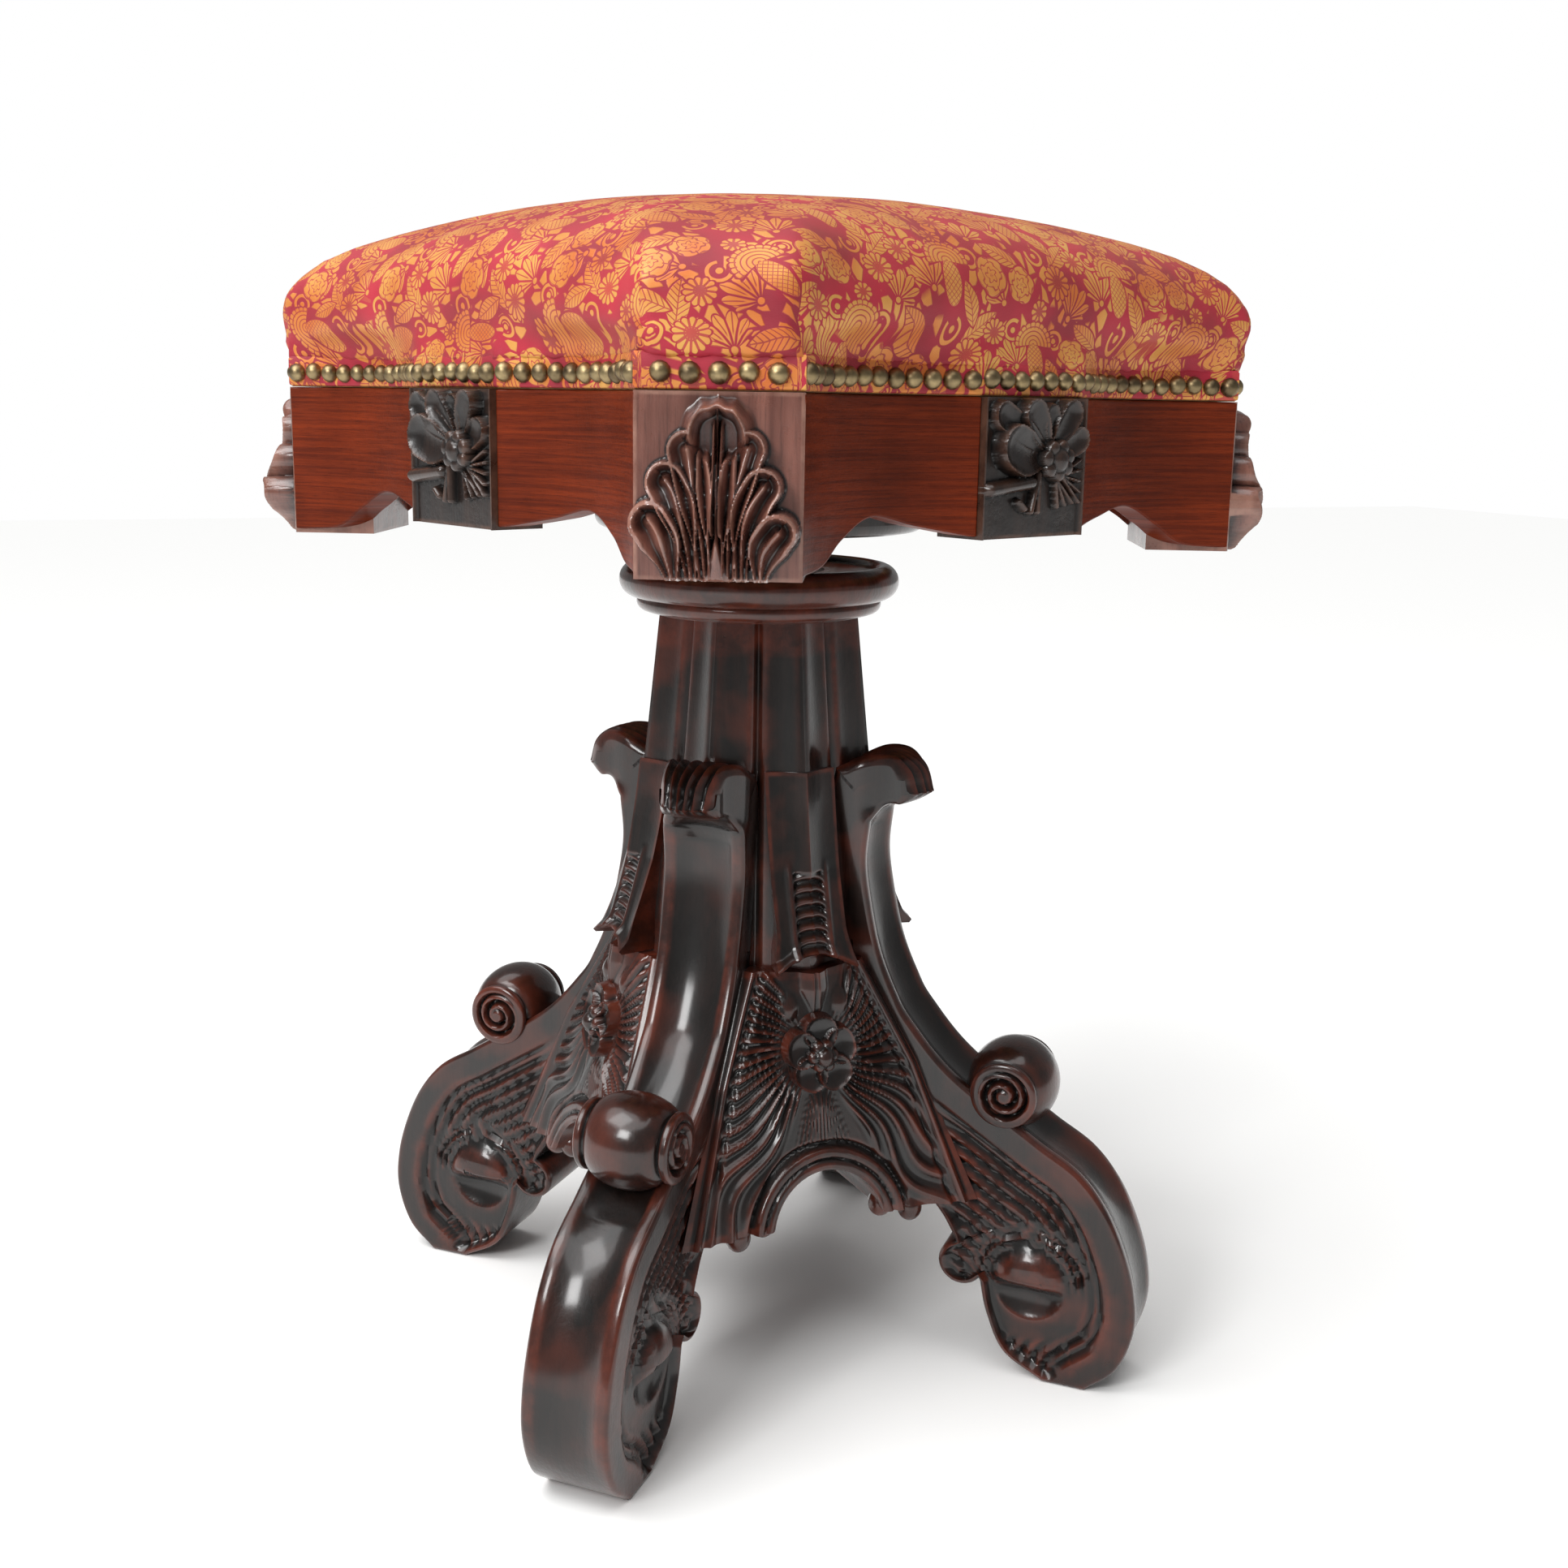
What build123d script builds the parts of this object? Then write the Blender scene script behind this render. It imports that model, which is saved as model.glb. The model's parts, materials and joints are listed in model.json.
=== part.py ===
from build123d import *
from math import cos, radians, sin, sqrt
import os

os.makedirs("parts", exist_ok=True)

# ---------------------------------------------------------------- dimensions, mm
# The axis of the stool is Z and the floor is z = 0. Angles run from +X towards +Y.

# pillar: a tapering shaft of eight lobes, an arris on each and a V groove between
shaft_top = 351.0
shaft_waist = 297.0
shaft_low = 240.0
shaft_bottom = 196.0
arris_top = 50.0
arris_waist = 56.0
arris_low = 63.0
arris_bottom = 67.0
groove_ratio = 0.87
lobe_count = 8
core_radius = 40.0
core_bottom = 104.0

# turned capital
capital_top = 374.0
capital_radius = 65.0
capital_roll = 7.0
bead_radius = 57.0
bead_height = 7.0
neck_radius = 51.0
dish_radius = 54.0
dish_depth = 3.0

# spindle and nut: one right-hand trapezoidal thread
lead = 6.35
spindle_core = 12.2
thread_depth = 1.8
thread_root = 4.0
thread_crest = 1.8
thread_clearance = 0.35
spindle_low = 249.0
spindle_run = 20
nut_radius = 19.0
nut_bottom = 325.0
nut_flange_radius = 30.0
nut_flange = 4.0
bore_clearance = 2.0
bore_bottom = 228.0
screw_head = 4.0
screw_shank = 2.0
screw_length = 14.0
nut_screw_circle = 24.5

# legs: a strap that leaves the shaft in a curled leaf and ends in a scrolled foot
leg_width = 40.0
leaf_root = (46.0, 284.0)
leaf_crown = ((60.0, 290.5), (73.0, 291.0), (84.0, 284.5), (88.0, 273.0))
leaf_under = ((80.0, 268.5), (70.0, 268.0), (63.5, 260.0))
strap_points = ((62.0, 241.0), (64.6, 222.0), (70.0, 199.0), (78.0, 180.0), (86.0, 167.0), (108.0, 144.0))
instep = (150.0, 117.0)
foot_front = ((168.0, 106.0), (181.0, 91.0), (190.0, 73.0), (196.0, 53.0), (197.0, 33.0), (190.0, 13.0))
foot_toe = 176.0
foot_heel = 156.0
foot_back = ((137.0, 11.0), (128.0, 29.0), (124.0, 46.0))
scroll_bead = (113.0, 54.0)
scroll_bead_radius = 9.0
leg_underside = ((104.0, 76.0), (92.0, 88.0), (72.0, 98.0))
leg_depth = 30.0
housing_depth = 44.0
channel_depth = 3.0
channel_border = 6.0

# carving on the sides of a foot: sunk inside a flat band, with ribs and a dome left standing
carving_line = (
    (106.0, 126.0), (142.0, 104.0), (158.0, 94.0), (168.0, 82.0), (175.0, 67.0),
    (180.5, 50.0), (181.5, 35.0), (177.0, 21.0), (169.0, 10.0),
)
carving_back = ((160.0, -6.0), (100.0, -6.0), (100.0, 70.0), (119.0, 88.0))
rib_depth = 2.9
ground_depth = 5.5
vein_insets = (2.5, 8.5)
vein_width = 3.0
scroll_eye = (147.5, 46.0)
scroll_radius = 17.5
scroll_ground = 4.2
dome_height = 6.5
scoop_depth = 4.5
ring_radii = (20.5, 24.0, 27.5)
ring_width = 1.8

knee = (132.0, 139.0)
knee_radius = 21.0
knee_width = 44.0
knee_eye = 12.0
knee_groove = 3.0

# carved panels between the legs: (height, reach at the middle, reach along the leg)
panel_top = (196.0, 70.0, 62.0)
panel_middle = (150.0, 78.0, 90.0)
panel_bottom = (85.0, 89.0, 118.0)
arch_radius = 27.6
arch_crown = 107.0
rim_width = 8.0
rim_height = 3.0
pendants = ((84.0, 29.5, 85.0), (88.0, 43.0, 82.0))
pendant_radius = 6.5
rib_count = 46
rib_start = 21.0
rib_end = 95.0
rib_half_turn = 2.0
rib_height = 2.0
plain_below = 30.0
plain_above = 26.0
strip_near = 1.0
strip_far = 5.0
flower_height = 160.0
flower_reach = 86.0
petal_count = 5
petal_circle = 11.0
petal_radius = 8.0
bud_radius = 6.5

# lappets: the tongues that hang over the panels, each with a ladder of notches
lappet_top = 285.0
lappet_width = 34.0
lappet_line = ((58.5, 285.0), (61.5, 262.0), (66.0, 236.0), (76.0, 203.0))
lappet_lip = 76.5
notch_count = 5
notch_pitch = 7.0
notch_low = 207.0
notch_width = 14.0
notch_height = 3.2
notch_reach = 65.5

# seat frame, square with canted corners, turned on the base as it stands
seat_turn = 18.33
frieze_top = 450.0
corner_reach = 208.9
corner_width = 59.0
corner_depth = 36.0
corner_bottom = 385.5
# (how far the leaf stands out, height above the block's foot)
leaf_relief = ((0.0, 63.5), (7.1, 61.5), (11.6, 56.5), (8.6, 45.5), (17.1, 20.5), (7.1, 1.5))
middle_reach = 162.5
middle_width = 60.0
middle_depth = 22.0
middle_bottom = 396.0
middle_relief = 7.0
scoop_sagitta = 14.0
apron_thickness = 13.0
# (share of the way from the middle block to the corner, height above the corner's foot)
apron_edge = ((1.0, 1.5), (0.8, 3.5), (0.66, 12.0), (0.475, 20.0), (0.25, 16.0), (0.0, 11.5))
board_thickness = 20.0
bearer_width = 60.0
bearer_height = 20.0
boss_radius = 76.0
boss_height = 20.0
boss_bead = 5.0
flange_radius = 38.0
flange_thickness = 4.0
flange_screw_circle = 28.0
washer_radius = 27.0
washer_thickness = 3.5
washer_gap = 0.2

# upholstery
rail_height = 12.0
cover_thickness = 1.2
cover_hem = 1.0
nail_radius = 3.9
nail_height = 6.0
nail_pitch = 8.8
corner_nails = 5
corner_nail_pitch = 10.1
nail_seat = 0.1
cushion_inset = 2.5
# (height above the rail, swell of the corner, swell of the side, share of the plan)
cushion_levels = (
    (0.0, 0.0, 0.0, 1.0),
    (8.0, 4.5, 3.5, 1.0),
    (16.0, 8.0, 6.5, 1.0),
    (25.0, 8.6, 9.0, 1.0),
    (32.0, 4.4, 9.0, 1.0),
    (38.0, -2.4, 7.5, 0.98),
    (44.0, -13.2, 3.5, 0.94),
    (50.0, -31.2, -4.0, 0.84),
    (56.5, -61.2, -22.0, 0.66),
    (61.0, -96.0, -48.0, 0.46),
    (64.0, -134.0, -80.0, 0.28),
    (65.0, -166.0, -108.0, 0.16),
)

# ---------------------------------------------------------------- derived sizes
half_leg = leg_width / 2
crest_radius = spindle_core + thread_depth
bore_radius = crest_radius + bore_clearance
boss_bottom = frieze_top - board_thickness - bearer_height - boss_height
side_names = {"right": 0, "back": 90, "left": 180, "front": 270}
corner_names = {"back_right": 45, "back_left": 135, "front_left": 225, "front_right": 315}


def turned(angle, height=0.0):
    """Level plane at a height, its local x running outwards at the angle."""
    return Plane.XY.rotated((0, 0, angle)).offset(height)


def upright(angle, across=0.0):
    """Plane through the axis: local x runs outwards at the angle, local y runs up."""
    out = (cos(radians(angle)), sin(radians(angle)), 0)
    aside = (sin(radians(angle)), -cos(radians(angle)), 0)
    return Plane(origin=(0, 0, 0), x_dir=out, z_dir=aside).offset(across)


def facing(angle, distance):
    """Plane that looks outwards at the angle: local x runs sideways, local y runs up."""
    out = (cos(radians(angle)), sin(radians(angle)), 0)
    side = (-sin(radians(angle)), cos(radians(angle)), 0)
    return Plane(origin=(0, 0, 0), x_dir=side, z_dir=out).offset(distance)


def save(builder, name):
    """Label a finished node and write its STEP file."""
    builder.part.label = name
    export_step(builder.part, f"parts/{name}.step")


def lobes(arris):
    """Corners of the shaft's section: an arris on each lobe, a groove between two."""
    corners = []
    for k in range(2 * lobe_count):
        reach = arris if k % 2 == 0 else arris * groove_ratio
        corners.append((reach * cos(k * 3.14159265 / lobe_count), reach * sin(k * 3.14159265 / lobe_count)))
    return corners


def thread(radius, low, turns, extra, kind):
    """Right-hand thread ridge, added round a core or cut into a bore."""
    with BuildLine(Plane.XY.offset(low)) as path:
        Helix(pitch=lead, height=turns * lead, radius=radius)
    with BuildSketch(Plane(origin=path.line @ 0, x_dir=(1, 0, 0), z_dir=path.line % 0)) as ridge:
        with BuildLine():
            Polyline(
                (-0.6, -thread_root / 2 - extra),
                (-0.6, thread_root / 2 + extra),
                (thread_depth, thread_crest / 2 + extra),
                (thread_depth, -thread_crest / 2 - extra),
                close=True,
            )
        make_face()
    sweep(ridge.sketch, path=path.line, is_frenet=True, mode=kind)


def inset(points, distance):
    """Points of an open line moved to its right, square to the line through their neighbours."""
    moved = []
    for k, (x, y) in enumerate(points):
        before = points[max(k - 1, 0)]
        after = points[min(k + 1, len(points) - 1)]
        ahead = (after[0] - before[0], after[1] - before[1])
        length = sqrt(ahead[0] ** 2 + ahead[1] ** 2)
        moved.append((x + distance * ahead[1] / length, y - distance * ahead[0] / length))
    return moved


def carved_ground():
    """Face of the sunk ground on the side of a foot, in a plane that runs outwards and up."""
    with BuildLine() as outline:
        line = Spline(*carving_line)
        Polyline(line @ 1, *carving_back, line @ 0)
    make_face(outline.edges())


def scroll_form(angle, side, middle, edge, shut, up, kind):
    """Half round form about a scroll's eye: its level at the middle, at the edge and where it is shut."""
    far = scroll_eye[0] + scroll_radius
    with BuildSketch(turned(angle, scroll_eye[1])) as half:
        with BuildLine():
            bow = TangentArc((scroll_eye[0], side * middle), (far, side * edge), tangent=(1, 0))
            Polyline(bow @ 1, (far, side * shut), (scroll_eye[0], side * shut), bow @ 0)
        make_face()
    away = 1 if up else -1
    axis = Axis(
        (scroll_eye[0] * cos(radians(angle)), scroll_eye[0] * sin(radians(angle)), scroll_eye[1]),
        (away * sin(radians(angle)), -away * cos(radians(angle)), 0),
    )
    revolve(half.sketch, axis=axis, revolution_arc=180, mode=kind)


def panel_body(angle, raised, root):
    """Body between two legs, its carved face raised by a height, its back at the root."""
    sections = []
    for height, middle, along in (panel_bottom, panel_middle, panel_top):
        edge_out = (along + half_leg) / sqrt(2) + raised
        edge_side = (along - half_leg) / sqrt(2)
        inside = along / sqrt(2)
        with BuildSketch(turned(angle, height)) as section:
            with BuildLine():
                Polyline(
                    (middle + raised, 0),
                    (edge_out, edge_side),
                    (inside + raised, inside),
                    (root, root),
                    (root, -root),
                    (inside + raised, -inside),
                    (edge_out, -edge_side),
                    close=True,
                )
            make_face()
        sections.append(section.sketch)
    loft(sections, ruled=True)


# ---------------------------------------------------------------- pillar
with BuildPart() as core:
    with BuildSketch(Plane.XY.offset(core_bottom)):
        Circle(core_radius)
    extrude(amount=shaft_bottom - core_bottom)
    chamfer(core.edges().group_by(Axis.Z)[0], 3)
save(core, "pillar_core")

flange_seat = capital_top - dish_depth - nut_flange
with BuildPart() as capital:
    with BuildSketch(Plane.XZ):
        with BuildLine():
            Polyline(
                (nut_radius, shaft_top),
                (neck_radius, shaft_top),
                (bead_radius - 2, shaft_top + 1),
                (bead_radius, shaft_top + 3),
                (bead_radius, shaft_top + bead_height),
                (bead_radius - 2, shaft_top + bead_height + 1.5),
                (capital_radius - capital_roll, capital_top - 2 * capital_roll),
            )
            ThreePointArc(
                (capital_radius - capital_roll, capital_top - 2 * capital_roll),
                (capital_radius, capital_top - capital_roll),
                (capital_radius - capital_roll, capital_top),
            )
            Polyline(
                (capital_radius - capital_roll, capital_top),
                (dish_radius, capital_top - dish_depth),
                (nut_flange_radius, capital_top - dish_depth),
                (nut_flange_radius, flange_seat),
                (nut_radius, flange_seat),
                (nut_radius, shaft_top),
            )
        make_face()
    revolve(axis=Axis.Z)
    with Locations(Plane.XY.offset(flange_seat)):
        with PolarLocations(nut_screw_circle, 4, start_angle=22.5):
            Hole(screw_shank, depth=screw_length - nut_flange)
save(capital, "capital")

# ---------------------------------------------------------------- nut and its screws
with BuildPart() as thread_space:
    # the tap starts and ends well clear of the nut, in step with the spindle's turns
    tap_low = spindle_low + 9 * lead
    with BuildSketch(Plane.XY.offset(tap_low)):
        Circle(spindle_core + thread_clearance)
    extrude(amount=13 * lead)
    thread(spindle_core + thread_clearance, tap_low + lead, 11, thread_clearance, Mode.ADD)

with BuildPart() as nut:
    with BuildSketch(Plane.XY.offset(nut_bottom)):
        Circle(nut_radius)
    extrude(amount=flange_seat - nut_bottom)
    with BuildSketch(Plane.XY.offset(flange_seat)):
        Circle(nut_flange_radius)
    extrude(amount=nut_flange)
    add(thread_space.part, mode=Mode.SUBTRACT)
    with Locations(Plane.XY.offset(flange_seat + nut_flange)):
        with PolarLocations(nut_screw_circle, 4, start_angle=22.5):
            CounterSinkHole(screw_shank, screw_head)
save(nut, "nut")


def wood_screws(head_height, circle, start, up):
    """Four countersunk wood screws on a circle, heads level with a flange's face."""
    away = 1 if up else -1
    with Locations(Plane.XY.offset(head_height)):
        with PolarLocations(circle, 4, start_angle=start):
            with Locations((0, 0, -away * screw_length / 2)):
                Cylinder(screw_shank, screw_length)
            with Locations((0, 0, -away * screw_head / 4)):
                Cone(
                    screw_shank if up else screw_head,
                    screw_head if up else screw_shank,
                    screw_head / 2,
                )


with BuildPart() as nut_screws:
    wood_screws(flange_seat + nut_flange, nut_screw_circle, 22.5, True)
save(nut_screws, "nut_screws")

# ---------------------------------------------------------------- legs
foot_ribs = []
for vein_inset in vein_insets:
    with BuildLine() as vein:
        Spline(*inset(carving_line[:-1], vein_inset))
    foot_ribs.append(vein.line)
foot_rings = []
for ring_radius in ring_radii:
    with BuildLine() as ring:
        CenterArc(scroll_eye, ring_radius, 8, 164)
    foot_rings.append(ring.line)

legs = {}
for place, angle in corner_names.items():
    with BuildPart() as knee_roll:
        with BuildSketch(upright(angle)):
            with Locations(knee):
                Circle(knee_radius)
        extrude(amount=knee_width / 2, both=True)
        ends = knee_roll.faces().filter_by(GeomType.PLANE)
        fillet(ends.edges(), 4)
        for side in (-1, 1):
            with BuildSketch(upright(angle, side * knee_width / 2)):
                with Locations(knee):
                    Circle(knee_eye)
                    Circle(knee_eye - knee_groove, mode=Mode.SUBTRACT)
            extrude(amount=-side * 2, mode=Mode.SUBTRACT)
    save(knee_roll, f"knee_scroll_{place}")

    with BuildPart() as leg:
        with BuildSketch(upright(angle)):
            with BuildLine():
                crown = Spline(leaf_root, *leaf_crown)
                under = Spline(crown @ 1, *leaf_under)
                strap = Spline(under @ 1, *strap_points)
                Line(strap @ 1, instep)
                foot = Spline(instep, *foot_front, (foot_toe, 0))
                Line(foot @ 1, (foot_heel, 0))
                back = Spline((foot_heel, 0), *foot_back)
                bead_top = (scroll_bead[0] - 1, scroll_bead[1] + scroll_bead_radius)
                ThreePointArc(back @ 1, (scroll_bead[0] - scroll_bead_radius, scroll_bead[1]), bead_top)
                Polyline(
                    bead_top,
                    *leg_underside,
                    (leg_depth, core_bottom),
                    (leg_depth, shaft_bottom),
                    (housing_depth, shaft_bottom),
                    (housing_depth, leaf_root[1] - 20),
                    leaf_root,
                )
            make_face()
        extrude(amount=half_leg, both=True)
        with BuildSketch(upright(angle)):
            trace(strap, line_width=2 * channel_depth)
            trace(foot, line_width=2 * channel_depth)
        extrude(amount=half_leg - channel_border, both=True, mode=Mode.SUBTRACT)
        for side in (-1, 1):
            with BuildSketch(upright(angle, side * half_leg)):
                carved_ground()
            extrude(amount=-side * rib_depth, mode=Mode.SUBTRACT)
            with BuildSketch(upright(angle, side * half_leg)):
                carved_ground()
                for line in foot_ribs:
                    trace(line, line_width=vein_width, mode=Mode.SUBTRACT)
                for line in foot_rings:
                    trace(line, line_width=ring_width, mode=Mode.SUBTRACT)
                with Locations(scroll_eye):
                    Circle(scroll_radius, mode=Mode.SUBTRACT)
            extrude(amount=-side * ground_depth, mode=Mode.SUBTRACT)
            ground = half_leg - scroll_ground
            scroll_form(angle, -side, ground + dome_height, ground, half_leg - 8, True, Mode.ADD)
            scroll_form(angle, -side, ground - scoop_depth, ground, half_leg + 4, False, Mode.SUBTRACT)
        add(knee_roll.part, mode=Mode.SUBTRACT)
        add(core.part, mode=Mode.SUBTRACT)
    save(leg, f"leg_{place}")
    legs[place] = leg.part

# ---------------------------------------------------------------- shaft, housed for the legs
with BuildPart() as shaft:
    for height, arris in (
        (shaft_bottom, arris_bottom),
        (shaft_low, arris_low),
        (shaft_waist, arris_waist),
        (shaft_top, arris_top),
    ):
        with BuildSketch(Plane.XY.offset(height)):
            Polygon(*lobes(arris), align=None)
    loft(ruled=True)
    with BuildSketch(Plane.XY.offset(bore_bottom)):
        Circle(bore_radius)
    extrude(amount=shaft_top - bore_bottom, mode=Mode.SUBTRACT)
    with BuildSketch(Plane.XY.offset(nut_bottom)):
        Circle(nut_radius)
    extrude(amount=shaft_top - nut_bottom, mode=Mode.SUBTRACT)
    for angle in corner_names.values():
        with BuildSketch(upright(angle)):
            Polygon(
                (housing_depth, shaft_bottom),
                (housing_depth, leaf_root[1] - 20),
                leaf_root,
                leaf_crown[0],
                (leaf_crown[-1][0], leaf_crown[0][1]),
                (leaf_crown[-1][0], shaft_bottom),
                align=None,
            )
        extrude(amount=half_leg, both=True, mode=Mode.SUBTRACT)
    for leg_part in legs.values():
        add(leg_part, mode=Mode.SUBTRACT)
save(shaft, "pillar_shaft")

# ---------------------------------------------------------------- carved panels and lappets
def wedge(low, high):
    """Rib that spreads from the flower between two angles, in (sideways, up)."""
    corners = []
    for reach, turn in ((rib_start, low), (rib_end, low), (rib_end, high), (rib_start, high)):
        corners.append((reach * cos(radians(turn)), flower_height + reach * sin(radians(turn))))
    return corners


def strip(side):
    """Raised strip along one leg, in (sideways, up)."""
    corners = []
    for height, _, along in (panel_top, panel_middle, panel_bottom):
        corners.append((side * ((along - half_leg) / sqrt(2) - strip_near), height))
    for height, _, along in (panel_bottom, panel_middle, panel_top):
        corners.append((side * ((along - half_leg) / sqrt(2) - strip_far), height))
    return corners


rib_edges = []
for k in range(rib_count):
    rib_turn = -180 + (k + 0.5) * 360 / rib_count
    if abs(rib_turn + 90) > plain_below and abs(rib_turn - 90) > plain_above:
        rib_edges.append((rib_turn - rib_half_turn, rib_turn + rib_half_turn))

for name, angle in side_names.items():
    with BuildPart() as rim:
        panel_body(angle, rim_height, 30)
        with BuildSketch(facing(angle, 55)):
            with Locations((0, arch_crown - arch_radius)):
                Circle(arch_radius + rim_width)
        extrude(amount=60, mode=Mode.INTERSECT)

    with BuildPart() as ribs:
        panel_body(angle, rib_height, 30)
        with BuildSketch(facing(angle, 55)):
            for low, high in rib_edges:
                Polygon(*wedge(low, high), align=None)
            for side in (-1, 1):
                Polygon(*strip(side), align=None)
        extrude(amount=60, mode=Mode.INTERSECT)

    with BuildPart() as panel:
        panel_body(angle, 0, 20)
        add(rim.part)
        add(ribs.part)
        with BuildSketch(facing(angle, 0)):
            with Locations((0, arch_crown - arch_radius)):
                Circle(arch_radius)
        extrude(amount=140, mode=Mode.SUBTRACT)
        for reach, aside, height in pendants:
            for side in (-1, 1):
                with Locations(turned(angle)):
                    with Locations((reach, side * aside, height)):
                        Sphere(pendant_radius)
        add(core.part, mode=Mode.SUBTRACT)
        for leg_part in legs.values():
            add(leg_part, mode=Mode.SUBTRACT)
    save(panel, f"panel_{name}")

    with BuildPart() as flower:
        with BuildSketch(facing(angle, flower_reach - 14)):
            with Locations((0, flower_height)):
                with PolarLocations(petal_circle, petal_count, start_angle=90):
                    Circle(petal_radius)
                Circle(petal_circle)
        extrude(amount=10)
        with Locations(facing(angle, flower_reach - 4)):
            with Locations((0, flower_height, 0)):
                Sphere(bud_radius)
        add(panel.part, mode=Mode.SUBTRACT)
    save(flower, f"flower_{name}")

    with BuildPart() as lappet:
        with BuildSketch(upright(angle)):
            with BuildLine():
                face = Spline(*lappet_line)
                Polyline(face @ 1, (lappet_lip, shaft_bottom), (40, shaft_bottom), (40, lappet_top), face @ 0)
            make_face()
        extrude(amount=lappet_width / 2, both=True)
        with BuildSketch(facing(angle, notch_reach + 3)):
            for k in range(notch_count):
                with Locations((0, notch_low + k * notch_pitch)):
                    Rectangle(notch_width, notch_height)
        extrude(amount=20, mode=Mode.SUBTRACT)
        add(shaft.part, mode=Mode.SUBTRACT)
        for leg_part in legs.values():
            add(leg_part, mode=Mode.SUBTRACT)
    save(lappet, f"lappet_{name}")

# ---------------------------------------------------------------- spindle, flange, washer
with BuildPart() as spindle:
    with BuildSketch(Plane.XY.offset(spindle_low)):
        Circle(spindle_core)
    extrude(amount=boss_bottom + flange_thickness - spindle_low)
    thread(spindle_core, spindle_low + lead, spindle_run, 0.0, Mode.ADD)
save(spindle, "spindle")

with BuildPart() as spindle_flange:
    with BuildSketch(Plane.XY.offset(boss_bottom)):
        Circle(flange_radius)
        Circle(spindle_core, mode=Mode.SUBTRACT)
    extrude(amount=flange_thickness)
    with Locations(Plane.XY.offset(boss_bottom).rotated((180, 0, 0))):
        with PolarLocations(flange_screw_circle, 4, start_angle=45):
            CounterSinkHole(screw_shank, screw_head)
save(spindle_flange, "spindle_flange")

with BuildPart() as flange_screws:
    wood_screws(boss_bottom, flange_screw_circle, 45, False)
save(flange_screws, "flange_screws")

with BuildPart() as washer:
    with BuildSketch(Plane.XY.offset(boss_bottom - washer_gap - washer_thickness)):
        Circle(washer_radius)
        Circle(crest_radius + thread_clearance, mode=Mode.SUBTRACT)
    extrude(amount=washer_thickness)
save(washer, "washer")

# ---------------------------------------------------------------- boss and bearers
with BuildPart() as boss:
    with BuildSketch(Plane.XY.offset(boss_bottom)):
        Circle(boss_radius)
    extrude(amount=boss_height)
    fillet(boss.edges().group_by(Axis.Z)[0], boss_bead)
    with BuildSketch(Plane.XY.offset(boss_bottom)):
        Circle(flange_radius)
    extrude(amount=flange_thickness, mode=Mode.SUBTRACT)
    add(flange_screws.part, mode=Mode.SUBTRACT)
save(boss, "seat_boss")

bearer_low = boss_bottom + boss_height
bearer_reach = middle_reach - middle_depth
with BuildPart() as bearer_long:
    with BuildSketch(turned(seat_turn, bearer_low)):
        Rectangle(2 * bearer_reach, bearer_width)
    extrude(amount=bearer_height)
    with BuildSketch(turned(seat_turn, bearer_low + bearer_height / 2)):
        Rectangle(bearer_width, bearer_width)
    extrude(amount=bearer_height / 2, mode=Mode.SUBTRACT)
save(bearer_long, "bearer_long")

with BuildPart() as bearer_cross:
    with BuildSketch(turned(seat_turn, bearer_low)):
        Rectangle(bearer_width, 2 * bearer_reach)
    extrude(amount=bearer_height)
    add(bearer_long.part, mode=Mode.SUBTRACT)
save(bearer_cross, "bearer_cross")


# ---------------------------------------------------------------- seat plan
def corner_point(inset):
    """Where a canted corner meets a side, seen from the side's middle: (out, along)."""
    out = (corner_reach + corner_width / 2) / sqrt(2) - 1.05 * inset
    along = (corner_reach - corner_width / 2) / sqrt(2) - 0.364 * inset
    return out, along


def seat_outline(height, inset):
    """Plan of the frieze: canted corners, a flat at each side's middle, a scoop between."""
    out_far, along_far = corner_point(inset)
    out_near = middle_reach - 1.0 - inset
    along_near = middle_width / 2
    out_mid = (out_far + out_near) / 2 - scoop_sagitta
    along_mid = (along_far + along_near) / 2
    with BuildSketch(turned(seat_turn, height)) as plan:
        with BuildLine():
            points = []
            for k in range(4):
                c, s = (1, 0, -1, 0)[k], (0, 1, 0, -1)[k]
                points.append([
                    (c * out - s * along, s * out + c * along)
                    for out, along in (
                        (out_far, -along_far),
                        (out_mid, -along_mid),
                        (out_near, -along_near),
                        (out_near, along_near),
                        (out_mid, along_mid),
                        (out_far, along_far),
                    )
                ])
            for k in range(4):
                side = points[k]
                ThreePointArc(side[0], side[1], side[2])
                Line(side[2], side[3])
                ThreePointArc(side[3], side[4], side[5])
                Line(side[5], points[(k + 1) % 4][0])
        make_face()
    return plan.sketch


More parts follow.
